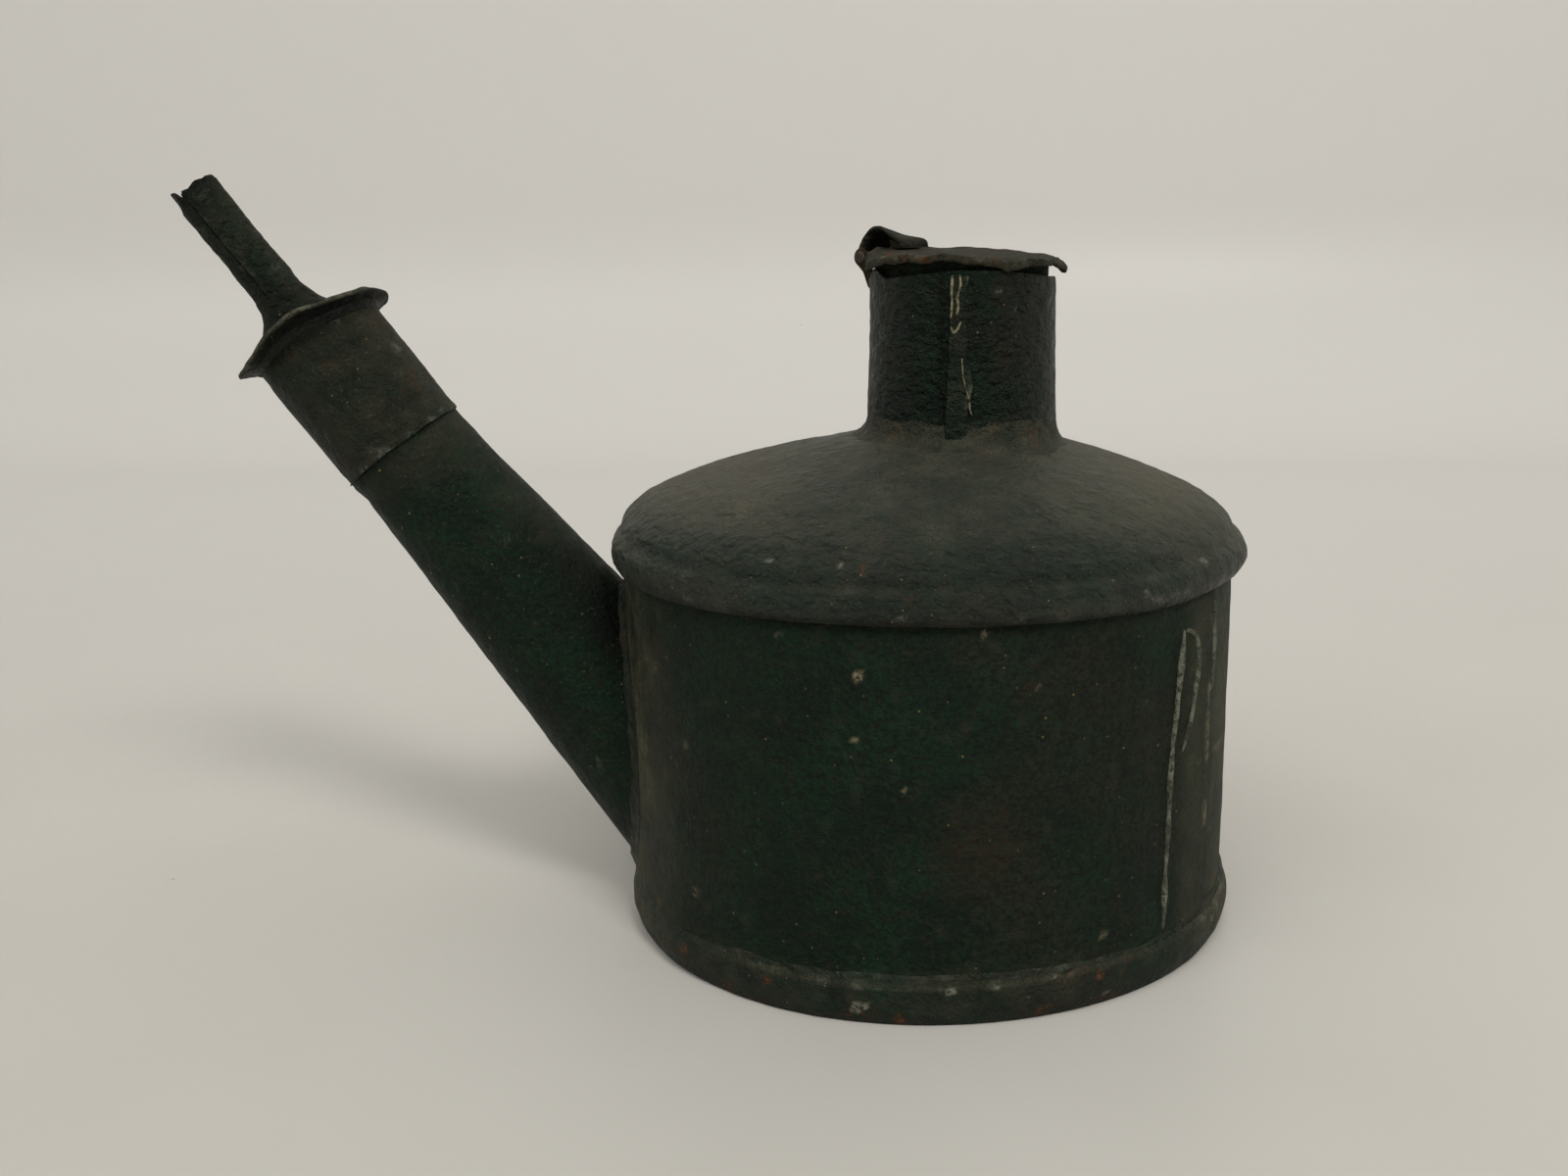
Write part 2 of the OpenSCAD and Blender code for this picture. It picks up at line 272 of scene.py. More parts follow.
# ---------------------------------------------------------------- materials
class Mat:
    def __init__(self, name):
        self.m = bpy.data.materials.new(name)
        self.m.use_nodes = True
        self.nt = self.m.node_tree
        self.nt.nodes.clear()
        out = self.nt.nodes.new("ShaderNodeOutputMaterial")
        self.bsdf = self.nt.nodes.new("ShaderNodeBsdfPrincipled")
        self.nt.links.new(self.bsdf.outputs["BSDF"], out.inputs["Surface"])
        self.co = self.nt.nodes.new("ShaderNodeTexCoord").outputs["Object"]

    def put(self, socket, value):
        if isinstance(value, bpy.types.NodeSocket):
            self.nt.links.new(value, socket)
        elif isinstance(value, (tuple, list)) and len(value) == 3 and socket.type == "RGBA":
            socket.default_value = (*value, 1)
        else:
            socket.default_value = value

    def noise(self, size, detail=3.0, rough=0.55, dist=0.0, stretch=None):
        n = self.nt.nodes.new("ShaderNodeTexNoise")
        n.inputs["Scale"].default_value = 1000.0 / size
        n.inputs["Detail"].default_value = detail
        n.inputs["Roughness"].default_value = rough
        n.inputs["Distortion"].default_value = dist
        co = self.co
        if stretch:
            m = self.nt.nodes.new("ShaderNodeMapping")
            m.inputs["Scale"].default_value = stretch
            self.nt.links.new(co, m.inputs["Vector"])
            co = m.outputs["Vector"]
        self.nt.links.new(co, n.inputs["Vector"])
        return n.outputs["Fac"]

    def cells(self, size, feature="F1", rand=1.0):
        n = self.nt.nodes.new("ShaderNodeTexVoronoi")
        n.feature = feature
        n.inputs["Scale"].default_value = 1000.0 / size
        n.inputs["Randomness"].default_value = rand
        self.nt.links.new(self.co, n.inputs["Vector"])
        return n.outputs["Distance"], n.outputs["Color"]

    def span(self, value, a, b, lo=0.0, hi=1.0):
        n = self.nt.nodes.new("ShaderNodeMapRange")
        n.interpolation_type = "SMOOTHSTEP"
        self.put(n.inputs["Value"], value)
        n.inputs["From Min"].default_value, n.inputs["From Max"].default_value = a, b
        n.inputs["To Min"].default_value, n.inputs["To Max"].default_value = lo, hi
        return n.outputs["Result"]

    def math(self, op, a, b=0.0, clamp=False):
        n = self.nt.nodes.new("ShaderNodeMath")
        n.operation, n.use_clamp = op, clamp
        self.put(n.inputs[0], a)
        self.put(n.inputs[1], b)
        return n.outputs[0]

    def mix(self, fac, a, b, blend="MIX"):
        n = self.nt.nodes.new("ShaderNodeMix")
        n.data_type, n.blend_type = "RGBA", blend
        self.put(n.inputs["Factor"], fac)
        self.put(n.inputs["A"] if n.inputs["A"].type == "RGBA" else n.inputs[6], a)
        self.put(n.inputs["B"] if n.inputs["B"].type == "RGBA" else n.inputs[7], b)
        return n.outputs[2]

    def attr(self, name):
        n = self.nt.nodes.new("ShaderNodeAttribute")
        n.attribute_type, n.attribute_name = "GEOMETRY", name
        return n.outputs["Fac"]

    def part(self, colour, channel):
        n = self.nt.nodes.new("ShaderNodeSeparateColor")
        self.nt.links.new(colour, n.inputs["Color"])
        return n.outputs[channel]

    def relief(self, height, depth, strength=1.0):
        n = self.nt.nodes.new("ShaderNodeBump")
        n.inputs["Strength"].default_value = strength
        n.inputs["Distance"].default_value = depth * 0.001
        self.nt.links.new(height, n.inputs["Height"])
        self.nt.links.new(n.outputs["Normal"], self.bsdf.inputs["Normal"])


GREEN_DARK = (0.0046, 0.0145, 0.0078)
GREEN = (0.0062, 0.0232, 0.0115)
BROWN = (0.0175, 0.0195, 0.0125)
OLIVE = (0.0920, 0.0880, 0.0590)
PALE = (0.2100, 0.2150, 0.1700)
RUST = (0.1300, 0.0460, 0.0160)


def paint(name, dark=GREEN_DARK, green=GREEN, brown=BROWN, dust=OLIVE, worn=PALE, film=0.10, brownish=0.3,
          peel=2.6, peel_h=0.5, grain_h=0.16, depth=0.55, rough=0.5, level=0.22, specks=0.5, rusty=0.0,
          grit=0.0, ripple=None, sheen=0.0):
    """Old matt paint: two greens in clouds, brown dirt, a dusty film in the grain, worn and rusty places,
    pale specks; dust, worn, rust, soot and brown come from the mesh's own attributes, and the dust, worn and soot
    amounts also carry painted sheen, painted highlight and painted shade."""
    s = Mat(name)
    cloud = s.noise(9.0, 4, 0.6)
    mid = s.noise(2.1, 4, 0.65)
    fine = s.noise(0.55, 3, 0.7)
    tiny = s.noise(0.22, 2, 0.6)
    c = s.mix(s.span(cloud, 0.38, 0.62), dark, green)
    b = s.math("ADD", s.attr("brown"), s.math("MULTIPLY", s.math("SUBTRACT", s.noise(15.0, 3, 0.6), 0.5), 2.2))
    b = s.math("ADD", b, brownish)
    b = s.math("MULTIPLY", s.span(b, 0.0, 1.0), s.span(mid, 0.30, 0.62, 0.45, 1.0))
    c = s.mix(b, c, brown)
    fleck = s.span(s.noise(1.25, 3, 0.65), 0.53, 0.63)
    c = s.mix(s.math("MULTIPLY", fleck, 0.55), c, brown)
    c = s.mix(s.span(fine, 0.40, 0.62, 0.0, 0.70), c, (0.0026, 0.0034, 0.0022))
    # film of dust, thick where the attribute says, thin elsewhere, caught in the grain; where the attribute is raised
    # on the sides seen edge-on, this pale film is painted sheen
    d = s.math("ADD", s.attr("dust"), film)
    d = s.math("MULTIPLY", d, s.span(s.math("ADD", s.math("MULTIPLY", fine, 0.55), s.math("MULTIPLY", tiny, 0.45)),
                                     0.36, 0.62, 0.25, 1.5))
    d = s.math("MULTIPLY", d, s.span(mid, 0.28, 0.66, 0.55, 1.25), clamp=True)
    c = s.mix(d, c, dust)
    # scuffed paint and bright edges; on the sides seen edge-on and along some rims these pale marks are painted sheen
    # and painted highlight
    w = s.math("MULTIPLY", s.attr("worn"), s.span(s.noise(0.7, 3, 0.7), 0.36, 0.58), clamp=True)
    c = s.mix(w, c, worn)
    r = s.math("ADD", s.attr("rust"), rusty)
    r = s.math("MULTIPLY", r, s.span(s.noise(1.1, 4, 0.7), 0.40, 0.60), clamp=True)
    rc = s.mix(s.span(fine, 0.4, 0.6), (0.050, 0.022, 0.011), RUST)
    c = s.mix(r, c, rc)
    # near-black soot, also painted shade: undersides, the neck's inside, the sleeve under the flange, the pan's foot
    # and the spout's root are darkened this way
    soot = s.math("MULTIPLY", s.attr("soot"), s.span(fine, 0.30, 0.60, 1.0, 0.65), clamp=True)
    c = s.mix(soot, c, (0.0022, 0.0027, 0.0019))
    # specks of dust and chipped dots
    dist, col = s.cells(1.5)
    few = s.span(s.part(col, "Red"), 0.80 - 0.25 * specks, 0.82 - 0.25 * specks)
    dot = s.math("MULTIPLY", s.span(dist, 0.05, 0.12, 1.0, 0.0), few)
    dot = s.math("MULTIPLY", dot, min(1.0, specks))
    speck = s.mix(s.span(s.part(col, "Green"), 0.6, 0.75), (0.12, 0.12, 0.09), (0.26, 0.19, 0.07))
    c = s.mix(dot, c, speck)
    if grit:
        dist2, col2 = s.cells(0.62)
        g = s.math("MULTIPLY", s.span(dist2, 0.10, 0.26, 1.0, 0.0), s.span(s.part(col2, "Blue"), 0.60, 0.64))
        c = s.mix(s.math("MULTIPLY", g, grit), c, (0.070, 0.064, 0.040))
    s.put(s.bsdf.inputs["Base Color"], c)
    ro = s.math("ADD", s.span(mid, 0.3, 0.7, rough - 0.07, rough + 0.10), s.math("MULTIPLY", d, 0.30))
    ro = s.math("ADD", ro, s.math("MULTIPLY", r, 0.25), clamp=True)
    s.put(s.bsdf.inputs["Roughness"], ro)
    s.bsdf.inputs["Specular IOR Level"].default_value = level
    if sheen:
        s.bsdf.inputs["Sheen Weight"].default_value = sheen
        s.bsdf.inputs["Sheen Roughness"].default_value = 0.55
        s.bsdf.inputs["Sheen Tint"].default_value = (0.95, 0.93, 0.80, 1)
    h = s.math("MULTIPLY", s.noise(peel, 2, 0.5, 0.3, ripple), peel_h)
    h = s.math("ADD", h, s.math("MULTIPLY", s.noise(0.95, 4, 0.7), 0.60))
    h = s.math("ADD", h, s.math("MULTIPLY", tiny, grain_h))
    h = s.math("ADD", h, s.math("MULTIPLY", dot, 0.12))
    h = s.math("SUBTRACT", h, s.math("MULTIPLY", w, 0.06))
    s.relief(h, depth)
    return s.m


M_WALL = paint("wall_paint", film=0.015, brownish=0.05, peel=3.2, peel_h=0.40, depth=0.85, specks=0.6, level=0.10,
               worn=(0.25, 0.215, 0.135))
M_DOME = paint("dome_paint", film=0.03, brownish=0.15, peel=2.2, peel_h=1.0, depth=1.75, specks=0.9,
               ripple=(1, 1, 1.7), rough=0.38, level=0.24, sheen=0.03, grit=0.55)
M_NECK = paint("neck_paint", film=0.01, brownish=0.0, peel=1.4, peel_h=0.9, depth=1.9, specks=1.0, level=0.19,
               grain_h=0.30, ripple=(1, 1, 1.6), rough=0.38, grit=0.35)
M_SPOUT = paint("spout_paint", film=0.01, brownish=0.0, peel=2.2, peel_h=0.4, depth=1.15, specks=1.0, grit=0.5,
                level=0.10)
M_BASE = paint("base_paint", film=0.03, brownish=0.20, peel=2.0, peel_h=0.7, depth=1.4, specks=0.8, rusty=0.02,
               level=0.16)
M_LID = paint("lid_paint", film=0.04, brownish=0.45, peel=1.5, peel_h=0.7, depth=1.7, rusty=0.06, specks=0.8,
              rough=0.6, grit=0.4, level=0.12)
M_SLEEVE = paint("sleeve_paint", film=0.04, brownish=0.25, peel=1.6, peel_h=0.6, depth=1.45, specks=1.0, grit=0.7,
                 level=0.12)
M_WICKTUBE = paint("wick_tube_paint", film=0.03, brownish=0.15, peel=1.1, peel_h=0.8, depth=1.6, specks=1.0,
                   grit=0.5, rough=0.55, level=0.12)
M_SOLDER = paint("solder_paint", film=0.05, brownish=0.25, peel=1.2, peel_h=0.9, depth=0.8, specks=0.6,
                 rough=0.48, level=0.18)
M_BRIGHT = paint("rubbed_edge", film=0.10, brownish=0.4, worn=(0.24, 0.215, 0.13), peel=0.9, peel_h=0.6, depth=0.4,
                 specks=0.2, rough=0.5, level=0.2)
# painted shade: near-black paint for parts that sit in shadow, the solder under the dome's lip and the lid's plug ring
M_SHADE = paint("painted_shade_inside", film=0.0, brownish=0.6, peel=1.2, peel_h=0.6, depth=0.6, specks=0.0, rough=0.7,
                level=0.06)


def bare_iron(name):
    s = Mat(name)
    mid, fine = s.noise(1.1, 4, 0.65), s.noise(0.25, 3, 0.6)
    c = s.mix(s.span(mid, 0.35, 0.65), (0.050, 0.040, 0.030), (0.11, 0.10, 0.088))
    c = s.mix(s.span(fine, 0.5, 0.7), c, (0.10, 0.042, 0.018))
    s.put(s.bsdf.inputs["Base Color"], c)
    s.bsdf.inputs["Metallic"].default_value = 0.7
    s.put(s.bsdf.inputs["Roughness"], s.span(mid, 0.3, 0.7, 0.38, 0.62))
    s.relief(s.math("ADD", s.math("MULTIPLY", mid, 0.6), s.math("MULTIPLY", fine, 0.3)), 0.18)
    return s.m


def cotton(name):
    s = Mat(name)
    mid, fine = s.noise(1.3, 4, 0.65), s.noise(0.18, 3, 0.7, stretch=(1, 1, 0.35))
    c = s.mix(s.span(mid, 0.35, 0.65), (0.110, 0.082, 0.048), (0.19, 0.15, 0.095))
    c = s.mix(s.span(fine, 0.40, 0.68), c, (0.045, 0.032, 0.020))
    c = s.mix(s.attr("char"), c, (0.006, 0.006, 0.0055))
    s.put(s.bsdf.inputs["Base Color"], c)
    s.put(s.bsdf.inputs["Roughness"], s.span(mid, 0.3, 0.7, 0.78, 0.95))
    s.bsdf.inputs["Sheen Weight"].default_value = 0.15
    s.relief(s.math("ADD", fine, s.math("MULTIPLY", mid, 0.5)), 0.25)
    return s.m


M_IRON = bare_iron("dark_iron")
M_COTTON = cotton("wick_cotton")


# ---------------------------------------------------------------- marks on the surfaces
def marks(V, spots):
    """Sum of small round spots: (x, y, z, radius, strength)."""
    out = np.zeros(len(V))
    for x, y, z, r, a in spots:
        d = np.linalg.norm(V - np.array([x, y, z]), axis=1)
        out = np.maximum(out, a * (1 - sstep(d, r * 0.55, r)))
    return out


def on_tank(az, z, r=38.0):
    a = math.radians(az)
    return r * math.cos(a), r * math.sin(a), z


def az_of(V, cx=0.0):
    return np.degrees(np.arctan2(V[:, 1], V[:, 0] - cx))


# ---------------------------------------------------------------- tank
def make_wall():
    prof = [[38, 0.55], [38, WALL_TOP - 0.12], [37.9, WALL_TOP], [37.62, WALL_TOP], [37.55, WALL_TOP - 0.12],
            [37.55, 0.55], [37.65, 0.48], [37.9, 0.48], [38, 0.55]]
    p = dens(prof, STEP)[:-1]
    s = Skin(turn(p, around(38)), close_k=True)
    V = s.V
    out = V[:, :2] @ np.array([1, 0])
    r0 = np.hypot(V[:, 0], V[:, 1])
    outer = (r0 > 37.95).astype(float)
    az, z = az_of(V), V[:, 2]
    free = outer * sstep(z, 4.4, 6.0) * (1 - sstep(z, 43.8, 45.3))
    dents = 0.16 * fbm(V, 26, 3, 2) + 0.05 * fbm(V, 5.5, 9, 2) + 0.022 * noise(V, 1.8, 21)
    # the lap: the sheet rises towards its edge, then drops
    lap = 0.42 * sstep(az, -45.5, -33.0) * (1 - sstep(az, -31.6, -30.9)) + 0.16 * bump(az, -52, 9)
    lap -= 0.14 * bump(az, -30.2, 1.1)
    # a sunk ring under the shoulder and over the pan
    h = (dents + lap) * free - 0.05 * outer * bump(z, 44.6, 1.6)
    s.push(h)
    r = np.hypot(s.V[:, 0], s.V[:, 1])
    cap = np.where(outer > 0, np.where((z < 4.9) | (z > 45.2), 37.97, 99), 99)
    k = np.minimum(1, cap / r)
    s.V[:, :2] *= k[:, None]
    V = s.V
    spots = [(*on_tank(a, b), rr, w) for a, b, rr, w in (
        (-102.5, 39.9, 0.75, 0.9), (-103.1, 32.9, 0.5, 0.7), (-95.2, 27.3, 0.45, 0.8), (-82.2, 44.6, 0.6, 0.6),
        (-136.6, 10.8, 0.7, 0.7), (-137.8, 28.6, 0.45, 0.5), (-73.1, 38.5, 0.35, 0.5), (-115.9, 43.6, 0.4, 0.5),
        (-30.0, 37.0, 0.7, 0.7), (-29.2, 41.5, 0.8, 0.8), (-35.5, 25.0, 0.6, 0.5), (-60.0, 8.2, 0.5, 0.5),
        (60, 20, 0.6, 0.6), (120, 33, 0.5, 0.7), (95, 12, 0.7, 0.5))]
    n12 = fbm(V, 12, 31, 3)
    brown = 0.05 + 0.40 * sstep(az, -97, -66) * (1 - 0.25 * bump(z, 12, 9)) + 0.45 * (1 - sstep(az, -150, -128))
    brown = np.where(az > 0, 0.35 + 0.3 * noise(V, 22, 5), brown) + 0.28 * n12
    brown -= 0.55 * bump(az, -112, 19) + 0.35 * bump(az, -92, 13) * bump(z, 12, 12)
    # painted sheen: edge picks out the wall's left and right sides, seen edge-on from the camera, where extra dust and
    # pale scuffs stand in for grazing light
    edge = sstep(-az, 136, 170) * (az < 0) + (az > 90) * sstep(az, 150, 178) + bump(az, -10, 34)
    edge = edge * (1 + 0.5 * noise(V, 12.0, 83))
    dust = (0.95 * edge * (az < -100) + 0.66 * edge * (az > -100)) * (0.7 + 0.7 * fbm(V, 9.0, 8, 3)) + 0.10 * sstep(noise(V, 2.2, 77), 0.35, 0.9)
    dust += 0.16 * (1 - sstep(z, 4.6, 7.5)) * (0.6 + 0.5 * noise(V, 2.0, 12))
    dust += 0.34 * bump(az, -37.5, 6) * (0.7 + 0.5 * noise(V, 3, 14))
    worn = marks(V, spots) + 0.35 * edge * sstep(noise(V, 2.6, 41), 0.35, 0.8)
    worn += 0.65 * bump(az, -32.3, 1.6) * sstep(noise(V, 3.1, 43), -0.1, 0.5) * (z > 16)
    rust = 0.10 * sstep(noise(V, 4, 55), 0.55, 0.95) + 0.10 * bump(az, -82.8, 12) * bump(z, 20, 7)
    brown = brown + 0.5 * bump(az, -82.8, 15) * bump(z, 20, 9)
    return piece("body_wall_skin", s, "tank", M_WALL, ["body_wall"],
                 attrs={"dust": dust * outer, "brown": brown, "worn": worn * outer, "rust": rust * outer})


def make_body_seam():
    """Dribbles of solder beside the wall's lap."""
    def run(points, wid, hei, name_seed):
        pts = soften(dens(points, 1.2), 3)
        az, z = pts[:, 0], pts[:, 1]
        a = np.radians(az)
        up = np.stack([np.cos(a), np.sin(a), 0 * a], -1)
        lapr = 38.0 + 0.42 * sstep(az, -45.5, -33.0) + 0.14 * bump(az, -52, 9) - 0.06
        P = np.stack([lapr * np.cos(a), lapr * np.sin(a), z], -1)
        n = len(P)
        lump = 1 + 0.35 * noise(P, 3.0, name_seed) + 0.2 * noise(P, 1.1, name_seed + 3)
        return bead(P, up, wid * lump * (0.4 + 0.6 * tapered(n)), hei * lump * tapered(n), sink=0.3, n=12)
    deg = 1.2 / 0.663  # 1.2 mm of path is this many degrees round the wall
    left = run([[-41.6, 41.6], [-41.9, 40.5], [-42.6, 36.4], [-44.0, 29.5], [-44.9, 23.5], [-44.6, 20.3],
                [-45.0, 15.9], [-45.3, 11.5], [-45.2, 5.8]], 0.85, 0.40, 4)
    right = run([[-41.0, 41.5], [-39.4, 41.3], [-38.0, 40.4], [-37.0, 38.6], [-36.8, 36.8], [-38.0, 34.2],
                 [-38.4, 31.6], [-39.8, 29.2], [-41.2, 27.0]], 0.75, 0.34, 8)
    # a thin outer run near the groove
    outer = run([[-30.9, 43.6], [-31.3, 40.2], [-30.6, 37.6], [-31.2, 33.0]], 0.9, 0.22, 12)
    made = []
    for name, s, low in (("seam_solder_left", left, 0), ("seam_solder_right", right, 0), ("seam_solder_edge", outer, 0)):
        s.push(0.05 * noise(s.V, 0.9, 5))
        made.append(piece(name, s, "tank", M_SOLDER,
                          ["body_seam_solder"] if name == "seam_solder_left" else (),
                          attrs={"dust": 0.35 + 0.3 * noise(s.V, 2, 3), "brown": 0.3 + 0 * s.V[:, 0],
                                 "worn": 0.38 + 0.6 * noise(s.V, 2.4, 6), "rust": 0 * s.V[:, 0]}))
    return made


def make_pan():
    """Shallow pan with a swollen, lumpy turned-up rim."""
    def rim_h(a):
        d = np.degrees(a)
        d = wrap(d)
        return 4.55 + 0.30 * bump(d, -85, 38) - 0.45 * bump(d, -139, 26) + 0.12 * np.sin(3 * a + 1)
    nj = around(38.5)
    prof_out = soften(dens([[37.2, 0.0], [38.0, 0.28], [38.38, 0.9], [38.62, 1.9], [38.72, 2.9], [38.6, 3.9],
                            [38.4, 4.45]], STEP * 0.8), 2)
    prof = np.vstack([dens([[1.0, 0.0], [37.2, 0.0]], 2.2)[:-1], prof_out,
                      dens([[38.25, 4.62], [38.08, 4.5], [38.02, 3.5], [38.02, 0.7], [37.7, 0.45], [1.0, 0.45]], 1.6)])
    P = turn(prof, nj)
    a = 2 * math.pi * np.arange(nj) / nj
    zs = prof[:, 1][:, None]
    k = np.where(zs > 1.5, (zs - 1.5) / 3.05, 0) * (prof[:, 0][:, None] > 37.9)
    P[..., 2] = zs + k * (rim_h(a)[None] - 4.55)
    s = Skin(P, cap0="fan", cap1="fan")
    V = s.V
    r, z, az = np.hypot(V[:, 0], V[:, 1]), V[:, 2], az_of(V)
    outer = ((r > 38.15) & (z < 5.2)).astype(float) * sstep(z, 0.15, 0.9)
    h = outer * (0.13 * fbm(V, 6.5, 2, 3) + 0.10 * noise(V, 2.2, 7) - 0.02)
    h += ((r > 37.3) & (z < 5.2) & ((r > 38.15) | (z < 0.4))) * (0.42 * bump(az, -45, 95) + 0.36 * bump(az, -120, 60))
    under = (z < 0.1) & (r < 36)
    h = h + np.where(under, -0.10 * np.abs(fbm(V, 14, 9, 2)), 0)
    s.push(h)
    s.V[:, 2] = np.maximum(s.V[:, 2], 0.0)
    V = s.V
    spots = [(*on_tank(aa, zz, 38.7), rr, w) for aa, zz, rr, w in (
        (-103.0, 2.2, 0.95, 1.5), (-101.5, 2.5, 0.6, 1.2), (-87.6, 4.3, 0.6, 0.9), (-80, 4.6, 0.5, 0.6), (-70, 4.8, 0.45, 0.7),
        (-112, 2.6, 0.35, 0.7), (-139, 3.4, 0.6, 0.5), (-28, 3.5, 0.6, 0.7), (-33, 2.5, 0.5, 0.5),
        (-60, 1.5, 0.5, 0.5), (100, 3, 0.6, 0.8), (40, 2, 0.5, 0.6), (165, 2.5, 0.6, 0.8))]
    rsp = [(*on_tank(aa, zz, 38.6), rr, w) for aa, zz, rr, w in (
        (-119, 3.5, 0.9, 1.0), (-116.5, 3.2, 0.6, 0.8), (-61.6, 3.9, 0.8, 1.0), (-139, 3.0, 1.3, 0.7),
        (-148, 2.0, 1.2, 0.6), (-128, 1.0, 1.4, 0.7), (-96, 0.9, 1.2, 0.5), (-57, 3.4, 0.7, 0.8),
        (-72, 0.8, 1.4, 0.6), (80, 1.5, 1.6, 0.8), (150, 2, 1.3, 0.7))]
    # painted shade: a dark line along the pan's bottom edge, where it meets the floor
    contact_shade = sstep(r, 37.6, 38.3) * (1 - sstep(z, 0.25, 0.75))
    low = outer * (1 - sstep(z, 0.5, 1.5))
    rust = 0.55 * low * sstep(noise(V, 3.4, 18), -0.2, 0.6) + marks(V, rsp) + 0.35 * sstep(noise(V, 6, 23), 0.3, 0.9)
    rust = rust + np.where(z < 0.2, 0.45 * sstep(noise(V, 9, 66), -0.2, 0.7), 0)
    # painted sheen: ends picks out the pan's left and right sides, seen edge-on from the camera, which get extra dust
    # and pale scuffs; the pale line of dust and wear along the rim's top edge is partly a painted highlight
    ends = sstep(-az, 135, 165) * (az < 0) + bump(az, -22, 22)
    dust = outer * (0.04 + 0.62 * ends + 0.16 * noise(V, 3, 4)) * sstep(z, 0.8, 2.2) + 0.30 * bump(z, 4.6, 0.5) * outer
    worn = marks(V, spots) + 0.45 * bump(z, 4.55, 0.4) * sstep(noise(V, 2.2, 32), 0.35, 0.8) * outer
    worn += 0.4 * ends * sstep(noise(V, 2.0, 36), 0.2, 0.7) * outer
    brown = 0.25 + 0.35 * noise(V, 9, 14) + 0.2 * ends
    return piece("base_pan_skin", s, "tank", M_BASE, ["base_pan"],
                 attrs={"dust": dust, "brown": brown, "worn": worn, "rust": rust, "soot": contact_shade})


def make_base_solder():
    """Lumpy run of solder where the wall meets the pan's rim."""
    n = around(38) // 2
    a = 2 * math.pi * np.arange(n) / n
    az = wrap(np.degrees(a))
    P38 = np.stack([38 * np.cos(a), 38 * np.sin(a), 0 * a + 5], -1)
    top = 4.75 + 0.30 * bump(az, -85, 38) - 0.40 * bump(az, -139, 26) + 0.12 * np.sin(3 * a + 1)
    lump = 0.12 * noise(P38, 5, 3) + 0.10 * noise(P38, 1.9, 5)
    rise = 0.55 + 0.18 * noise(P38, 6, 8) + 0.12 * noise(P38, 2.2, 11)
    rows = []
    for r, dz in ((37.9, 1.0), (38.05, 0.95), (38.18, 0.55), (38.32, 0.18), (38.42, -0.06), (38.36, -0.28),
                  (38.15, -0.4), (37.9, -0.3)):
        rr = r + (lump if r > 38.1 else 0)
        rows.append(np.stack([rr * np.cos(a), rr * np.sin(a), top + dz * rise / 0.55], -1))
    P = np.array(rows)
    s = Skin(P, close_k=True)
    V = s.V
    az = az_of(V)
    worn = 0.30 * sstep(noise(V, 1.4, 9), 0.30, 0.8) * bump(az, -80, 40) + 0.35 * sstep(noise(V, 1.6, 19), 0.5, 0.9)
    return piece("base_solder_run", s, "tank", M_SOLDER, ["base_solder"],
                 attrs={"dust": 0.05 + 0.2 * noise(V, 3, 3), "brown": 0.2 + 0 * V[:, 0], "worn": worn,
                        "rust": 0.3 * sstep(noise(V, 4, 17), 0.4, 0.8)})


def dome_z(r):
    d = DOME[3:][::-1]
    return np.interp(r, d[:, 0], d[:, 1])


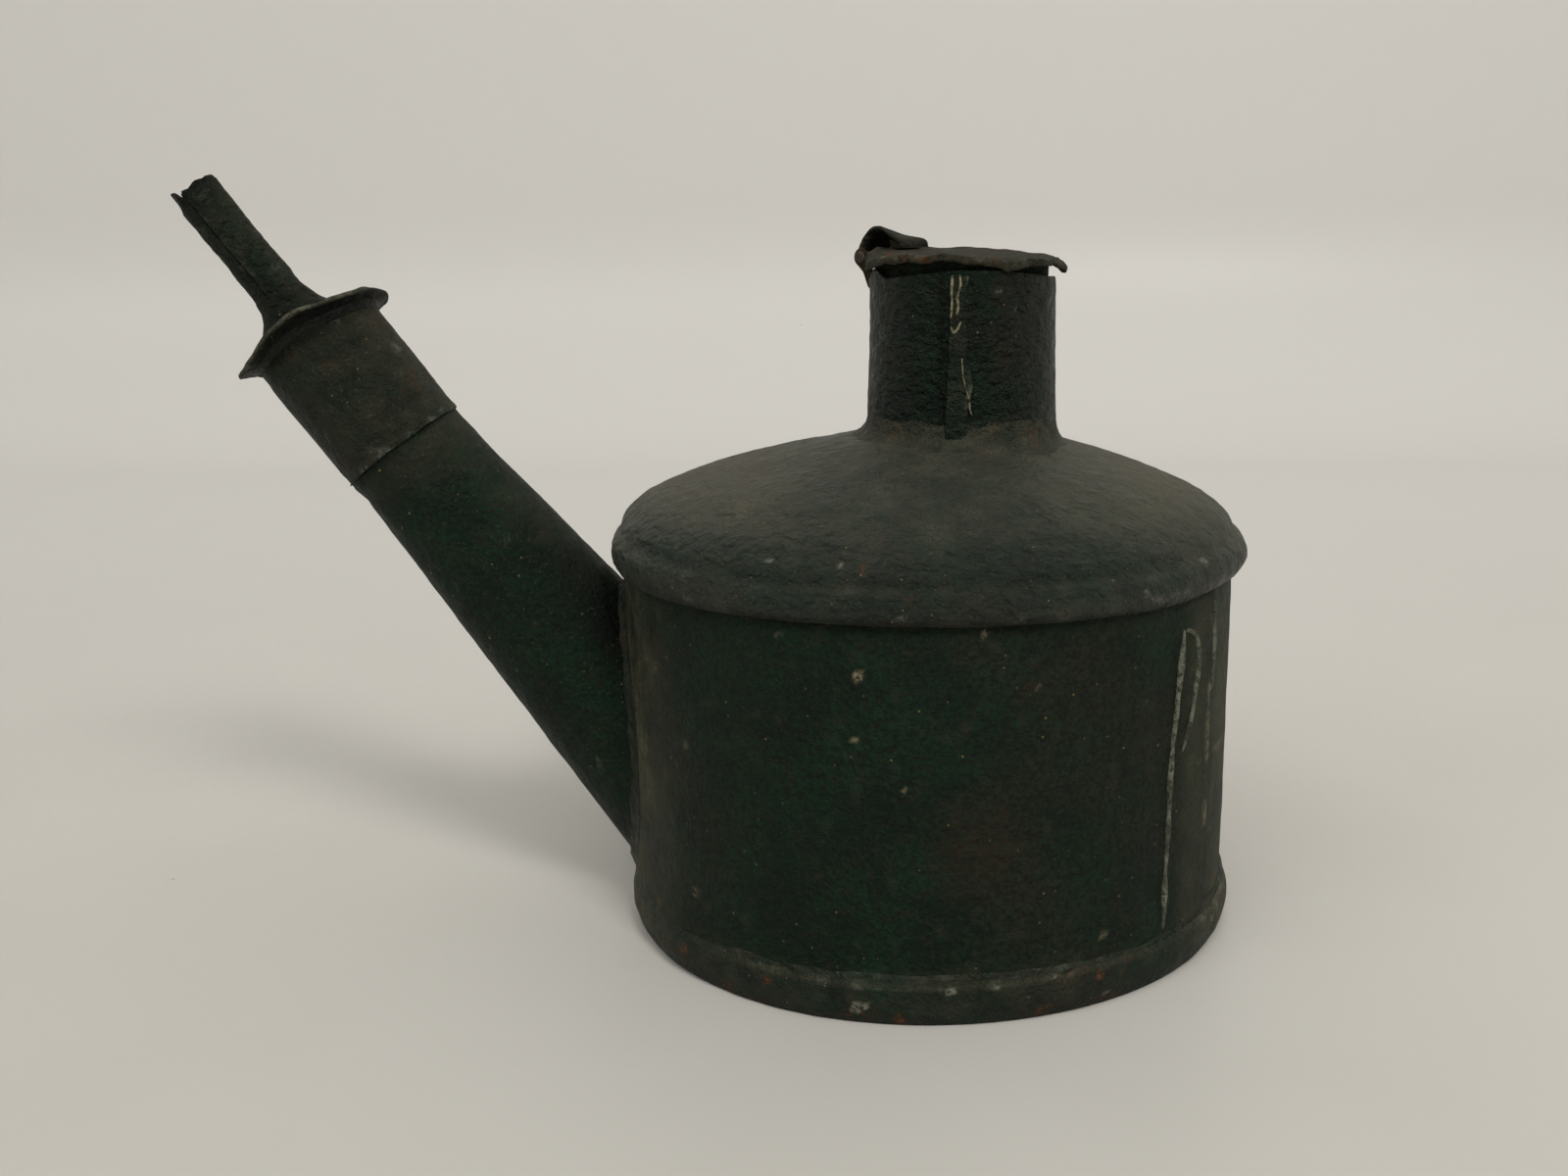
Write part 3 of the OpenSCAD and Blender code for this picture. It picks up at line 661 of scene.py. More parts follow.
def make_dome():
    nj = around(39)
    R1 = 19.0
    shape = DOME.copy()
    shape[:4] = [[38.75, 45.44], [39.22, 45.75], [39.52, 46.45], [39.62, 47.3]]
    out = soften(dens(shape, STEP), 3)
    out = out[out[:, 0] > R1] if out[0, 0] > R1 else out
    inn = np.array([[38.06, 46.3], [38.85, 46.75], [39.1, 47.4], [38.95, 48.1], [38.4, 48.95], [37.45, 50.1],
                    [36.35, 51.2], [35.1, 52.15], [33.6, 53.1], [31.9, 54.1], [29.9, 55.1], [27.3, 56.15],
                    [24.3, 57.15], [21.1, 58.0], [R1, 58.5]])[::-1]
    inn = dens(inn, 1.6)
    lip = np.array([[38.12, 46.0], [38.22, 45.72], [38.36, 45.5], [38.55, 45.42]])
    a = 2 * math.pi * np.arange(nj) / nj
    nm = int(8.6 / STEP)
    rows, wt = [], []
    for r, z in lip:
        rows.append(np.stack([r * np.cos(a), r * np.sin(a), 0 * a + z], -1))
        wt.append(0.0)
    for i, (r, z) in enumerate(out):
        rows.append(np.stack([r * np.cos(a), r * np.sin(a), 0 * a + z], -1))
        wt.append(min(1.0, i / 2.0))
    for i in range(1, nm + 1):
        t = i / nm
        rr, cx = R1 + (11.3 - R1) * t, NECK_X * t
        x, y = cx + rr * np.cos(a), rr * np.sin(a)
        rows.append(np.stack([x, y, dome_z(np.hypot(x, y))], -1))
        wt.append(1.0 - sstep(t, 0.85, 1.0) * 0.8)
    for i in range(0, 14):
        t = 1 - i / 14
        rr, cx = R1 + (11.3 - R1) * t, NECK_X * t
        x, y = cx + rr * np.cos(a), rr * np.sin(a)
        q, aq = np.hypot(x, y), np.degrees(np.arctan2(y, x))
        dent = 2.3 * bump(wrap(aq - 165), 0, 110) * bump(q, 20, 15) + 1.3 * bump(wrap(aq - 15), 0, 105) * bump(q, 27, 13)
        rows.append(np.stack([x, y, dome_z(q) - SHEET - 0.1 - dent], -1))
        wt.append(0.0)
    for r, z in inn:
        aq = np.degrees(a)
        dent = 1.8 * bump(wrap(aq - 165), 0, 110) * bump(r, 20, 15) + 1.0 * bump(wrap(aq - 15), 0, 105) * bump(r, 27, 13)
        rows.append(np.stack([r * np.cos(a), r * np.sin(a), z - dent], -1))
        wt.append(0.0)
    s = Skin(np.array(rows), close_k=True)
    w = s.rows(wt)
    V = s.V
    r, az, z = np.hypot(V[:, 0], V[:, 1]), az_of(V), V[:, 2]
    flat = V * np.array([1, 1, 1.4])
    h = 0.20 * fbm(V, 19, 2, 2) + 0.085 * fbm(flat, 4.2, 6, 2) + 0.075 * noise(flat, 2.0, 12) + 0.03 * noise(flat, 1.15, 15)
    # crease above the rounded skirt, and its flattened lip
    h = h - 0.34 * bump(z, 49.8, 1.2) * (r > 36) + 0.12 * bump(z, 47.0, 1.4)
    h = h * np.where(z < 46.2, 0.5, 1)
    left, right = bump(wrap(az - 165), 0, 85), bump(wrap(az - 15), 0, 80)
    h += -0.52 * left * bump(r, 19, 13) + 0.60 * left * bump(r, 35.5, 7) * sstep(z, 47.4, 49.4)
    h += 0.10 * right * bump(r, 37, 4) - 0.22 * right * bump(r, 28, 9) + 0.22 * right * bump(r, 15, 7)
    h += -0.22 * left * bump(r, 14, 7) + 0.28 * left * bump(r, 36.5, 4) * sstep(z, 48.4, 50.4)
    h -= 0.35 * left * (1 - sstep(z, 47.0, 48.4))
    h += 0.10 * right * bump(r, 17, 5) + 0.03 * noise(flat, 0.9, 77)
    s.push(h * w)
    V = s.V
    nd = np.hypot(V[:, 0] - NECK_X, V[:, 1])
    # wavy lip
    lipw = (1 - sstep(z, 45.5, 47.2)) * 1.0
    s.V[:, 2] += lipw * (0.16 * np.sin(np.radians(az) * 3 + 0.6) + 0.14 * noise(V, 9, 3))
    top = sstep(z, 51.0, 57.5)
    # painted sheen: extra dust on the dome's left and right sides, as seen from the camera, and on its right shoulder
    # stands in for grazing light
    side = np.abs(V[:, 0]) / 38.0
    dust = 0.02 + 0.16 * top + 0.06 * sstep(z, 48.8, 52) + 0.16 * noise(V, 7, 22) + 0.12 * noise(V, 2.6, 25)
    dust += 0.55 * sstep(z, 51, 56) * sstep(side, 0.25, 0.70)
    dust += 0.12 * (1 - sstep(nd, 11.5, 17.5)) + 0.14 * bump(z, 49.4, 0.9)
    green_low = bump(az, -72, 26) * bump(z, 51.5, 3.4) + bump(az, -135, 22) * bump(z, 51, 3.2)
    dust -= 0.25 * green_low
    dust += 0.15 * sstep(-az, 140, 168) * (az < 0) + 0.18 * bump(az, -8, 26)
    dust += 0.28 * sstep(V[:, 0], 22, 37) * sstep(z, 48.5, 50.5)
    brown = 0.20 + 0.60 * (1 - sstep(nd, 12, 19)) + 0.3 * noise(V, 10, 33) - 0.7 * green_low
    brown += 0.35 * (1 - sstep(z, 46.2, 48.4))
    spots = [(*on_tank(aa, zz, rr), q, b) for aa, rr, zz, q, b in (
        (-37.4, 38.8, 49.2, 0.75, 1.0), (-54.2, 39.6, 47.5, 0.55, 0.9), (-118.6, 36.8, 51.5, 0.45, 0.8),
        (-105.8, 36.6, 51.6, 0.4, 0.8), (-140, 37.0, 51.4, 0.4, 0.6), (-95, 39.5, 46.8, 0.5, 0.5))]
    worn = marks(V, spots) + 0.45 * bump(z, 46.4, 0.9) * sstep(noise(V, 3, 51), 0.1, 0.7) * (r > 38.9)
    worn += 0.20 * bump(z, 48.9, 0.8) * sstep(noise(V, 3.3, 53), 0.2, 0.8)
    rust = marks(V, [(*on_tank(-101.8, 51.3, 37.0), 0.7, 0.9), (*on_tank(-70, 46.6, 39.5), 0.8, 0.6)])
    rust = rust + 0.4 * sstep(noise(V, 6, 61), 0.45, 0.9) * (z < 49)
    return piece("shoulder_dome_skin", s, "tank", M_DOME, ["shoulder_dome"],
                 attrs={"dust": dust * w, "brown": brown, "worn": worn * w, "rust": rust * w})


def make_shoulder_solder():
    n = around(38) // 2
    a = 2 * math.pi * np.arange(n) / n
    P38 = np.stack([38 * np.cos(a), 38 * np.sin(a), 0 * a + 45], -1)
    thick = 0.22 + 0.10 * noise(P38, 5, 2) + 0.06 * noise(P38, 1.8, 7)
    rows = []
    for r, z in ((37.9, 46.1), (38.12, 46.05), (38.2, 45.75), (38.14, 45.5), (38.02, 45.35), (37.9, 45.35)):
        rr = r + (thick - 0.26 if r > 38.1 else 0)
        rows.append(np.stack([rr * np.cos(a), rr * np.sin(a), z + 0 * a - (thick if z < 45.5 else 0)], -1))
    s = Skin(np.array(rows), close_k=True)
    V = s.V
    # painted shade: the solder in the gap under the dome's lip gets the near-black shade paint
    return piece("shoulder_solder_run", s, "tank", M_SHADE, ["shoulder_solder"],
                 attrs={"dust": 0 * V[:, 0], "brown": 0.5 + 0 * V[:, 0], "worn": 0 * V[:, 0],
                        "rust": 0.3 * sstep(noise(V, 5, 4), 0.3, 0.8)})


# ---------------------------------------------------------------- filler neck
def neck_r(z):
    return 11.72 + NECK_K * (z - 60.7)


def make_neck():
    prof = dens([[neck_r(59.6) - 0.02, 59.6], [neck_r(79.7), 79.62], [neck_r(79.7) - 0.1, 79.78],
                 [neck_r(79.7) - 0.36, 79.78], [neck_r(79.7) - 0.45, 79.62], [neck_r(59.6) - 0.45, 59.6]], STEP * 0.8)
    s = Skin(turn(prof, around(11.6) * 5 // 4, (NECK_X, 0)), close_k=True)
    V = s.V
    rr = np.hypot(V[:, 0] - NECK_X, V[:, 1])
    outer = (rr > neck_r(V[:, 2]) - 0.12).astype(float)
    z, az = V[:, 2], az_of(V, NECK_X)
    h = 0.13 * fbm(V, 9, 2, 2) + 0.06 * fbm(V, 2.6, 7, 2) + 0.06 * noise(V, 1.2, 11)
    h -= 0.05 * bump(wrap(az - 180), 0, 60) * sstep(z, 64, 68)
    keep = outer * (1 - sstep(z, 79.0, 79.7) * 0.6)
    s.push(h * keep)
    # the front edge stands a little higher, and is uneven
    top = sstep(s.V[:, 2], 76.5, 79.6)
    s.V[:, 2] += top * (1.25 * bump(az, -84, 82) + 1.25 * bump(az, -160, 17) + 0.10 * noise(s.V * [1, 1, 0], 2.2, 17) + 0.08 * noise(s.V * [1, 1, 0], 0.9, 18))
    # the foot follows the shoulder
    V = s.V
    foot = dome_z(np.hypot(V[:, 0], V[:, 1])) - 0.25
    s.V[:, 2] = np.where(V[:, 2] < 61.2, np.maximum(V[:, 2], foot), V[:, 2])
    V = s.V
    back = (az > 0)
    brown = 0.0 + 0.75 * sstep(az, -84, -66) * (az < 0) + 0.5 * (1 - sstep(az, -160, -128)) * (az < 0) + 0.5 * back
    brown += 0.25 * noise(V, 6, 22)
    dust = 0.20 * (1 - sstep(z, 61.5, 65.0)) + 0.05 * sstep(az, -80, -40) * (az < 0)
    # painted sheen: extra dust on the neck's left and right sides, seen edge-on from the camera
    dust += 0.22 * bump(az, -172, 14) + 0.18 * bump(az, -4, 22) + 0.08 * noise(V, 1.8, 25) - 0.03 + 0.1 * back
    spots = [(NECK_X + 11.6 * math.cos(math.radians(aa)), 11.6 * math.sin(math.radians(aa)), zz, q, b)
             for aa, zz, q, b in ((-70, 78.6, 0.5, 0.6), (-60, 76.5, 0.3, 0.7), (-120, 72, 0.3, 0.6),
                                  (-75, 63.2, 0.45, 0.7), (110, 70, 0.5, 0.7))]
    worn = marks(V, spots) + 0.25 * bump(z, 79.7, 0.4) * sstep(noise(V, 2, 33), 0.3, 0.8)
    rust = 0.12 * sstep(noise(V, 5, 44), 0.5, 0.9)
    # painted shade: the soot amount puts a dark line beside the seam strip's left edge and blackens the inside of the
    # neck; it also darkens the lower left near the foot, in patches
    return piece("filler_neck_skin", s, "tank", M_NECK, ["filler_neck"],
                 attrs={"dust": dust * outer, "brown": brown, "worn": worn * outer, "rust": rust * outer,
                        "soot": outer * (0.95 * bump(az, -104.6, 3.2) + 0.75 * bump(az, -140, 26) * bump(z, 62, 5)
                                         + 0.45 * bump(az, -124, 14) * sstep(noise(V, 4, 71), 0.0, 0.5)) + (1 - outer)})


def make_neck_seam():
    """The raised lap strip down the front of the neck."""
    nz = int(17.4 / 0.35)
    zz = np.linspace(60.9, 80.45, nz)
    t = (zz - 60.9) / 19.5
    base = np.stack([0 * zz, 0 * zz, zz], -1)
    left = -103.0 + 4.6 * t + 0.6 * noise(base, 4, 2)
    right = -89.5 + 0.2 * t + 3.0 * bump(zz, 67.5, 3.5) + 1.0 * noise(base, 2.4, 5) + 0.6 * noise(base, 1.1, 9)
    m = 15
    u = np.linspace(0, 1, m)
    thick = 0.42 * (0.3 + 0.7 * tapered(nz, 0.04))
    rows = []
    for i in range(nz):
        A = np.radians(left[i] + (right[i] - left[i]) * u)
        edge = np.clip(np.minimum(u / 0.06, (1 - u) / 0.30), 0, 1) ** 0.5
        R = neck_r(zz[i]) + 0.02 + thick[i] * edge + 0.05 * noise(np.stack([A * 12, A * 0, zz[i] + 0 * A], -1), 1.4, 3)
        outer = np.stack([NECK_X + R * np.cos(A), R * np.sin(A), zz[i] + 0 * A], -1)
        Ri = neck_r(zz[i]) - 0.22
        inner = np.stack([NECK_X + Ri * np.cos(A), Ri * np.sin(A), zz[i] + 0 * A], -1)[::-1]
        rows.append(np.vstack([outer, inner]))
    s = Skin(np.array(rows), cap0="strip", cap1="strip")
    V = s.V
    ring = np.tile(np.concatenate([u, u[::-1]]), nz)
    z = V[:, 2]
    edges = np.maximum(bump(ring, 0.03, 0.10), bump(ring, 0.93, 0.14))
    worn = edges * (0.08 + 0.92 * sstep(z, 71.5, 73.5)) * sstep(noise(V, 1.6, 4), -0.3, 0.3)
    worn += 0.9 * bump(z, 66.6, 2.4) * bump(ring, 0.95, 0.2)
    return piece("neck_seam_strip", s, "tank", M_NECK, ["neck_seam_solder"], angle=30,
                 attrs={"dust": 0.10 + 0.12 * noise(V, 3, 8), "brown": 0.15 + 0 * z, "worn": worn, "rust": 0 * z})


def make_neck_lines():
    """Bare bright edges of the neck's seam, and a scratch lower down."""
    runs = (("neck_edge_left", [[-98.0, 80.5], [-98.6, 78.6], [-98.2, 77.2], [-99.0, 75.6]], 0.30),
            ("neck_edge_right", [[-93.9, 80.6], [-93.2, 79.3], [-95.4, 78.2], [-94.6, 76.9], [-95.6, 75.9]], 0.34),
            ("neck_edge_low", [[-98.8, 74.6], [-97.4, 73.9], [-94.8, 74.4], [-93.2, 75.3]], 0.26),
            ("neck_scratch", [[-92.6, 71.0], [-92.0, 69.0], [-90.4, 67.4], [-88.4, 66.2], [-88.2, 65.0], [-87.0, 64.4]], 0.18))
    for i, (name, pts, wid) in enumerate(runs):
        q = soften(dens(pts, 0.4), 2)
        a, z = np.radians(q[:, 0]), q[:, 1]
        up = np.stack([np.cos(a), np.sin(a), 0 * a], -1)
        R = neck_r(z) + 0.40
        P = np.stack([NECK_X + R * np.cos(a), R * np.sin(a), z], -1)
        n = len(P)
        lump = 1 + 0.35 * noise(P, 1.2, i)
        s = bead(P, up, wid * lump * (0.4 + 0.6 * tapered(n)), 0.10 * tapered(n), sink=0.35, n=8)
        V = s.V
        piece(name, s, "tank", M_BRIGHT, (),
              attrs={"dust": 0.2 + 0 * a[0] * V[:, 0], "brown": 0.4 + 0 * V[:, 0],
                     "worn": (0.95 if i < 3 else 0.8) + 0 * V[:, 0], "rust": 0 * V[:, 0]})


def make_neck_solder():
    n = around(12)
    a = 2 * math.pi * np.arange(n) / n
    ring = np.stack([NECK_X + 12 * np.cos(a), 12 * np.sin(a), 0 * a + 61], -1)
    big = 1 + 0.30 * noise(ring, 5, 3) + 0.18 * noise(ring, 2, 6)
    rows = []
    for dr, dz in ((-0.30, 2.9), (0.06, 2.8), (0.20, 1.9), (0.50, 1.1), (1.00, 0.52), (1.65, 0.16), (2.05, -0.18),
                   (1.0, -0.40), (-0.3, -0.40)):
        r = 11.66 + dr * (big if dr > 0.05 else 1)
        x, y = NECK_X + r * np.cos(a), r * np.sin(a)
        rows.append(np.stack([x, y, dome_z(np.hypot(x, y)) + dz * (big if dz > 0 else 1)], -1))
    s = Skin(np.array(rows), close_k=True)
    s.push(0.05 * noise(s.V, 1.0, 8))
    V = s.V
    return piece("neck_foot_solder", s, "tank", M_SOLDER, ["neck_solder"],
                 attrs={"dust": 0.18 + 0.2 * noise(V, 2, 4), "brown": 0.7 + 0 * V[:, 0],
                        "worn": 0.2 * sstep(noise(V, 1.8, 9), 0.4, 0.8), "rust": 0.35 * sstep(noise(V, 3, 5), 0.2, 0.7)})


# ---------------------------------------------------------------- spout
def cone_r(z):
    return 7.9 - 0.075 * z


def wall_hit(ang, grow=0.0, R=37.85):
    """How far down the cone's generator the tank's wall is met."""
    lo, hi = np.full(ang.shape, -75.0), np.full(ang.shape, -5.0)
    for _ in range(40):
        m = (lo + hi) / 2
        r = cone_r(m) + grow
        W = from_cone(np.stack([r * np.cos(ang), r * np.sin(ang), m], -1))
        inside = np.hypot(W[..., 0], W[..., 1]) < R
        lo, hi = np.where(inside, m, lo), np.where(inside, hi, m)
    return (lo + hi) / 2


def make_spout():
    nj = int(2 * math.pi * 9.0 / STEP)
    a = 2 * math.pi * np.arange(nj) / nj
    end_o, end_i = wall_hit(a), wall_hit(a, -SHEET)
    rows, wt = [], []

    def straight(r, t, w=0.0):
        rows.append(from_burner(np.stack([r * np.cos(a), r * np.sin(a), t + 0 * a], -1)))
        wt.append(w)

    for r, t in ((7.70, 9.47), (7.80, 9.35), (7.80, 7.0), (7.80, 4.5), (7.80, 2.0), (7.80, 0.4)):
        straight(r, t)
    nk = int(40 / STEP)
    for i in range(nk + 1):
        u = i / nk
        z = -0.6 + (end_o + 0.6) * u
        r = cone_r(z)
        rows.append(from_cone(np.stack([r * np.cos(a), r * np.sin(a), z], -1)))
        wt.append(min(1, i / 4.0) * min(1, (nk - i) / 6.0))
    for i in range(13):
        u = 1 - i / 12
        z = -0.9 + (end_i + 0.9) * u
        r = cone_r(z) - SHEET
        rows.append(from_cone(np.stack([r * np.cos(a), r * np.sin(a), z], -1)))
        wt.append(0)
    for r, t in ((7.36, 0.5), (7.36, 4.5), (7.36, 9.35), (7.46, 9.47)):
        straight(r, t)
    s = Skin(np.array(rows), close_k=True)
    w = s.rows(wt)
    V = s.V
    cz = to_cone(V)[:, 2]
    h = 0.10 * fbm(V, 14, 4, 2) + 0.06 * fbm(V, 3.2, 9, 2) + 0.03 * noise(V, 1.2, 13) + 0.16 * bump(cz, -3.0, 3.2)
    cq = to_cone(V)
    lowside = bump(wrap(np.degrees(np.arctan2(cq[:, 1], cq[:, 0])) - 195), 0, 85)
    h -= 0.66 * lowside + 0.19 - 0.03 * noise(V, 0.8, 61)
    s.push(h * w)
    V = s.V
    C = to_cone(V)
    az = np.degrees(np.arctan2(C[:, 1], C[:, 0]))  # 0 is the upper side
    upper = 1 - sstep(np.abs(az), 20, 75)
    near = sstep(C[:, 2], -50, -30)
    dust = 0.16 * upper * (0.6 + 0.5 * noise(V, 2.5, 3)) + 0.05 * noise(V, 4, 5) + 0.12 * bump(az, -165, 14)
    dust += 0.10 * sstep(C[:, 2], -8, -1)
    # painted shade: dark picks out the side and the stretch near the tank that the tank shades; there the paint is made
    # darker and browner with less dust, and the soot amount blackens it, reaching round to the root
    dark = bump(az, -40, 45) * (1 - sstep(C[:, 2], -34, -14))
    brown = 0.35 * upper + 0.25 * sstep(C[:, 2], -12, -2) + 0.25 * noise(V, 8, 31) - 0.25 * bump(az, -110, 40)
    worn = 0.45 * bump(az, -163, 8) * sstep(noise(V, 2.4, 43), 0.0, 0.6) + 0.5 * sstep(noise(V, 3.0, 47), 0.72, 0.9)
    outw = w > 0.01
    return piece("spout_tube_skin", s, "tank", M_SPOUT, ["spout_tube"],
                 attrs={"dust": (dust - 0.2 * dark) * outw, "brown": brown + 0.5 * dark, "worn": worn * outw,
                        "soot": outw * (0.95 * dark + 0.6 * bump(az, -60, 60) * (1 - sstep(C[:, 2], -52, -36))),
                        "rust": 0.3 * sstep(noise(V, 6, 53), 0.5, 0.9) * outw})


def make_spout_seam():
    n = 110
    z = np.linspace(-1.3, -52, n)
    base = np.stack([0 * z, 0 * z, z], -1)
    a = np.radians(200 + 1.3 * noise(base, 9, 2) + 0.6 * noise(base, 3, 4))
    r = cone_r(z) - 0.66
    P = from_cone(np.stack([r * np.cos(a), r * np.sin(a), z], -1))
    up = np.stack([np.cos(a), np.sin(a), 0 * a], -1) @ axes(CONE_LEAN)
    lump = 1 + 0.25 * noise(P, 4, 6) + 0.2 * noise(P, 1.6, 9)
    s = bead(P, up, 1.3 * lump * (0.5 + 0.5 * tapered(n, 0.04)), 0.26 * lump * tapered(n, 0.04), sink=0.3, n=10)
    V = s.V
    return piece("spout_seam_run", s, "tank", M_SOLDER, ["spout_seam_solder"],
                 attrs={"dust": 0.25 + 0.3 * noise(V, 3, 3), "brown": 0.2 + 0 * V[:, 0],
                        "worn": 0.55 * sstep(noise(V, 2.2, 5), 0.0, 0.6), "rust": 0 * V[:, 0]})


def make_spout_root():
    n = 170
    a = 2 * math.pi * np.arange(n) / n
    zc = wall_hit(a, 0.0, 38.0)
    r = cone_r(zc)
    C = from_cone(np.stack([r * np.cos(a), r * np.sin(a), zc], -1))
    e1 = from_cone(np.stack([(r - 0.075) * np.cos(a), (r - 0.075) * np.sin(a), zc + 1.0], -1)) - C
    e1 /= np.linalg.norm(e1, axis=1)[:, None]
    wall_n = np.stack([C[:, 0], C[:, 1], 0 * a], -1)
    wall_n /= np.linalg.norm(wall_n, axis=1)[:, None]
    tangent = np.roll(C, -1, 0) - np.roll(C, 1, 0)
    e2 = np.cross(tangent, wall_n)
    e2 /= np.linalg.norm(e2, axis=1)[:, None]
    mid = C.mean(0)
    e2 *= np.sign(np.einsum("ij,ij->i", e2, C - mid))[:, None]
    big = 1 + 0.32 * noise(C, 5, 3) + 0.22 * noise(C, 1.9, 6)
    low = bump(wrap(np.degrees(a) - 180), 0, 60)
    L1, L2 = (1.25 + 0.5 * low) * big, (1.15 + 0.35 * low) * big
    floor = PAN_H + 0.75
    rows = []
    for c1, c2, inn in ((1.15, 0.0, -0.25), (1.0, 0.02, 0.05), (0.55, 0.16, 0.12), (0.26, 0.30, 0.16),
                        (0.12, 0.60, 0.10), (0.02, 1.0, 0.03), (0.0, 1.15, -0.25), (0.0, 0.2, -0.4)):
        n_out = wall_n * (inn if c2 >= 0.6 or inn < -0.3 else 0)[:, None] if np.ndim(inn) else wall_n * (inn if (c2 >= 0.6) else 0.0)
        cone_n = np.stack([np.cos(a), np.sin(a), 0 * a], -1) @ axes(CONE_LEAN)
        n_cone = cone_n * (inn if c2 < 0.6 else 0.0)
        rows.append(C + e1 * (L1 * c1)[:, None] + e2 * (L2 * c2)[:, None] + n_out + n_cone)
    P = np.array(rows)
    P[..., 2] = np.maximum(P[..., 2], floor)
    s = Skin(P, close_k=True)
    s.push(0.07 * noise(s.V, 1.1, 8))
    V = s.V
    return piece("spout_root_run", s, "tank", M_SOLDER, ["spout_root_solder"],
                 attrs={"dust": 0.04 + 0.15 * noise(V, 2.4, 4), "brown": 0.4 + 0 * V[:, 0],
                        "worn": 0.2 * sstep(noise(V, 2.0, 9), 0.35, 0.8), "rust": 0.3 * sstep(noise(V, 3, 5), 0.3, 0.8)})


# ---------------------------------------------------------------- lid
def make_lid():
    nj = 300
    a = 2 * math.pi * np.arange(nj) / nj
    d = wrap(np.degrees(a))
    edge = np.stack([12 * np.cos(a), 12 * np.sin(a), 0 * a], -1)
    R = 11.85 + 0.13 * noise(edge, 5, 2) + 0.10 * noise(edge, 1.8, 5) + 0.05 * noise(edge, 0.8, 7)
    R = R - 0.45 * bump(d, -140, 10) - 0.25 * bump(d, -62, 6) + 0.15 * bump(d, -105, 14)
    q = np.abs(wrap(d - 25))
    tab = 1.0 * np.clip(1 - (q / 8.6) ** 3.0, 0, 1) ** 0.5
    R = R + np.where(q < 8.6, tab, 0)
    fr = [0.06, 0.16, 0.28, 0.4, 0.5, 0.6, 0.69, 0.77, 0.84, 0.89, 0.93, 0.965, 0.99]
    rows, wt, top = [], [], []
    for f in fr:
        rows.append((f, 0.5)); wt.append(f); top.append(1)
    rows += [(1.0, 0.36), (1.004, 0.22), (0.998, 0.05)]
    wt += [1, 1, 1]; top += [1, 0.6, 0]
    for f in fr[::-1]:
        rows.append((f - 0.004, 0.0)); wt.append(f); top.append(0)
    P = []
    for (f, z) in rows:
        rr = R * f
        P.append(np.stack([rr * np.cos(a), rr * np.sin(a), 0 * a + z], -1))
    s = Skin(np.array(P), cap0="fan", cap1="fan")
    V = s.V.copy()
    rr, aa = np.hypot(V[:, 0], V[:, 1]), az_of(V)
    rim = sstep(rr, 10.5, 12.0)
    z = V[:, 2]
    dz = rim * (0.22 * noise(V * [1, 1, 0], 5.5, 3) + 0.16 * noise(V * [1, 1, 0], 2.1, 8))
    dz -= 1.10 * rim * bump(aa, -132, 44)
    dz += 0.50 * rim * bump(aa, -62, 18)
    dz -= 0.35 * rim * bump(aa, -28, 14)
    dz -= 0.10 * rim * bump(aa, 5, 12)
    dz -= 0.34 * sstep(rr, 6, 12) * bump(wrap(aa - 30), 0, 62)
    dz -= 0.80 * sstep(rr, 11.2, 12.3) * bump(aa, 25, 14)
    # the rim is turned down, raggedly, along the front and the left
    f_out = rr / np.maximum(np.interp(aa, np.sort(d), R[np.argsort(d)]), 1)
    hang = bump(aa, -145, 36) * 0.95 + 0.30 * bump(aa, -95, 60) + 0.30 * bump(aa, -25, 40) + 0.16
    hang = np.maximum(hang + 0.16 * noise(V * [1, 1, 0], 1.6, 41) + 0.10 * noise(V * [1, 1, 0], 0.7, 43), 0)
    dz -= (z < 0.3) * sstep(f_out, 0.91, 0.975) * hang
    dz += 0.10 * fbm(V * [1, 1, 0], 7, 5, 2) * (z > 0.2)
    # keep the underside over the plug ring and the neck
    dz = np.where((z < 0.2) & (rr < 10.75), 0, dz)
    s.V[:, 2] += dz
    thick = rim * (z < 0.2) * 0.14 * (0.5 + 0.5 * noise(V, 3, 4))
    s.V[:, 2] -= thick
    s.V = from_tilted(s.V)
    s.orient()
    W = s.V
    upper = (z > 0.2).astype(float)
    spots = [(x, y, 82.6, q, b) for x, y, q, b in ((-4.0, -6.0, 1.5, 1.0), (-2.0, -8.5, 1.0, 0.9), (0, 4, 2.0, 0.5),
                                                     (9, 6, 1.8, 0.6))]
    rust = marks(W, spots) + 0.35 * sstep(noise(W, 4, 5), 0.2, 0.8) * upper + 0.3 * rim * sstep(noise(W, 2.5, 15), 0.2, 0.7)
    worn = 0.7 * rim * bump(z, 0.5, 0.3) * sstep(noise(W, 2.0, 9), 0.05, 0.6) + 0.3 * sstep(noise(W, 3.0, 19), 0.5, 0.9) * upper
    dust = upper * (0.16 + 0.22 * noise(W, 4, 3) + 0.15 * noise(W, 1.5, 6)) + 0.12 * rim
    # painted shade: the soot amount blackens the lid's underside inside its rim's edge
    return piece("lid_disc_skin", s, "lid", M_LID, ["lid_disc"], angle=45,
                 attrs={"dust": dust, "brown": 0.6 + 0 * z, "worn": worn * 0.6, "rust": rust, "soot": 0.8 * (1 - upper) * (1 - sstep(f_out, 0.95, 0.985))})


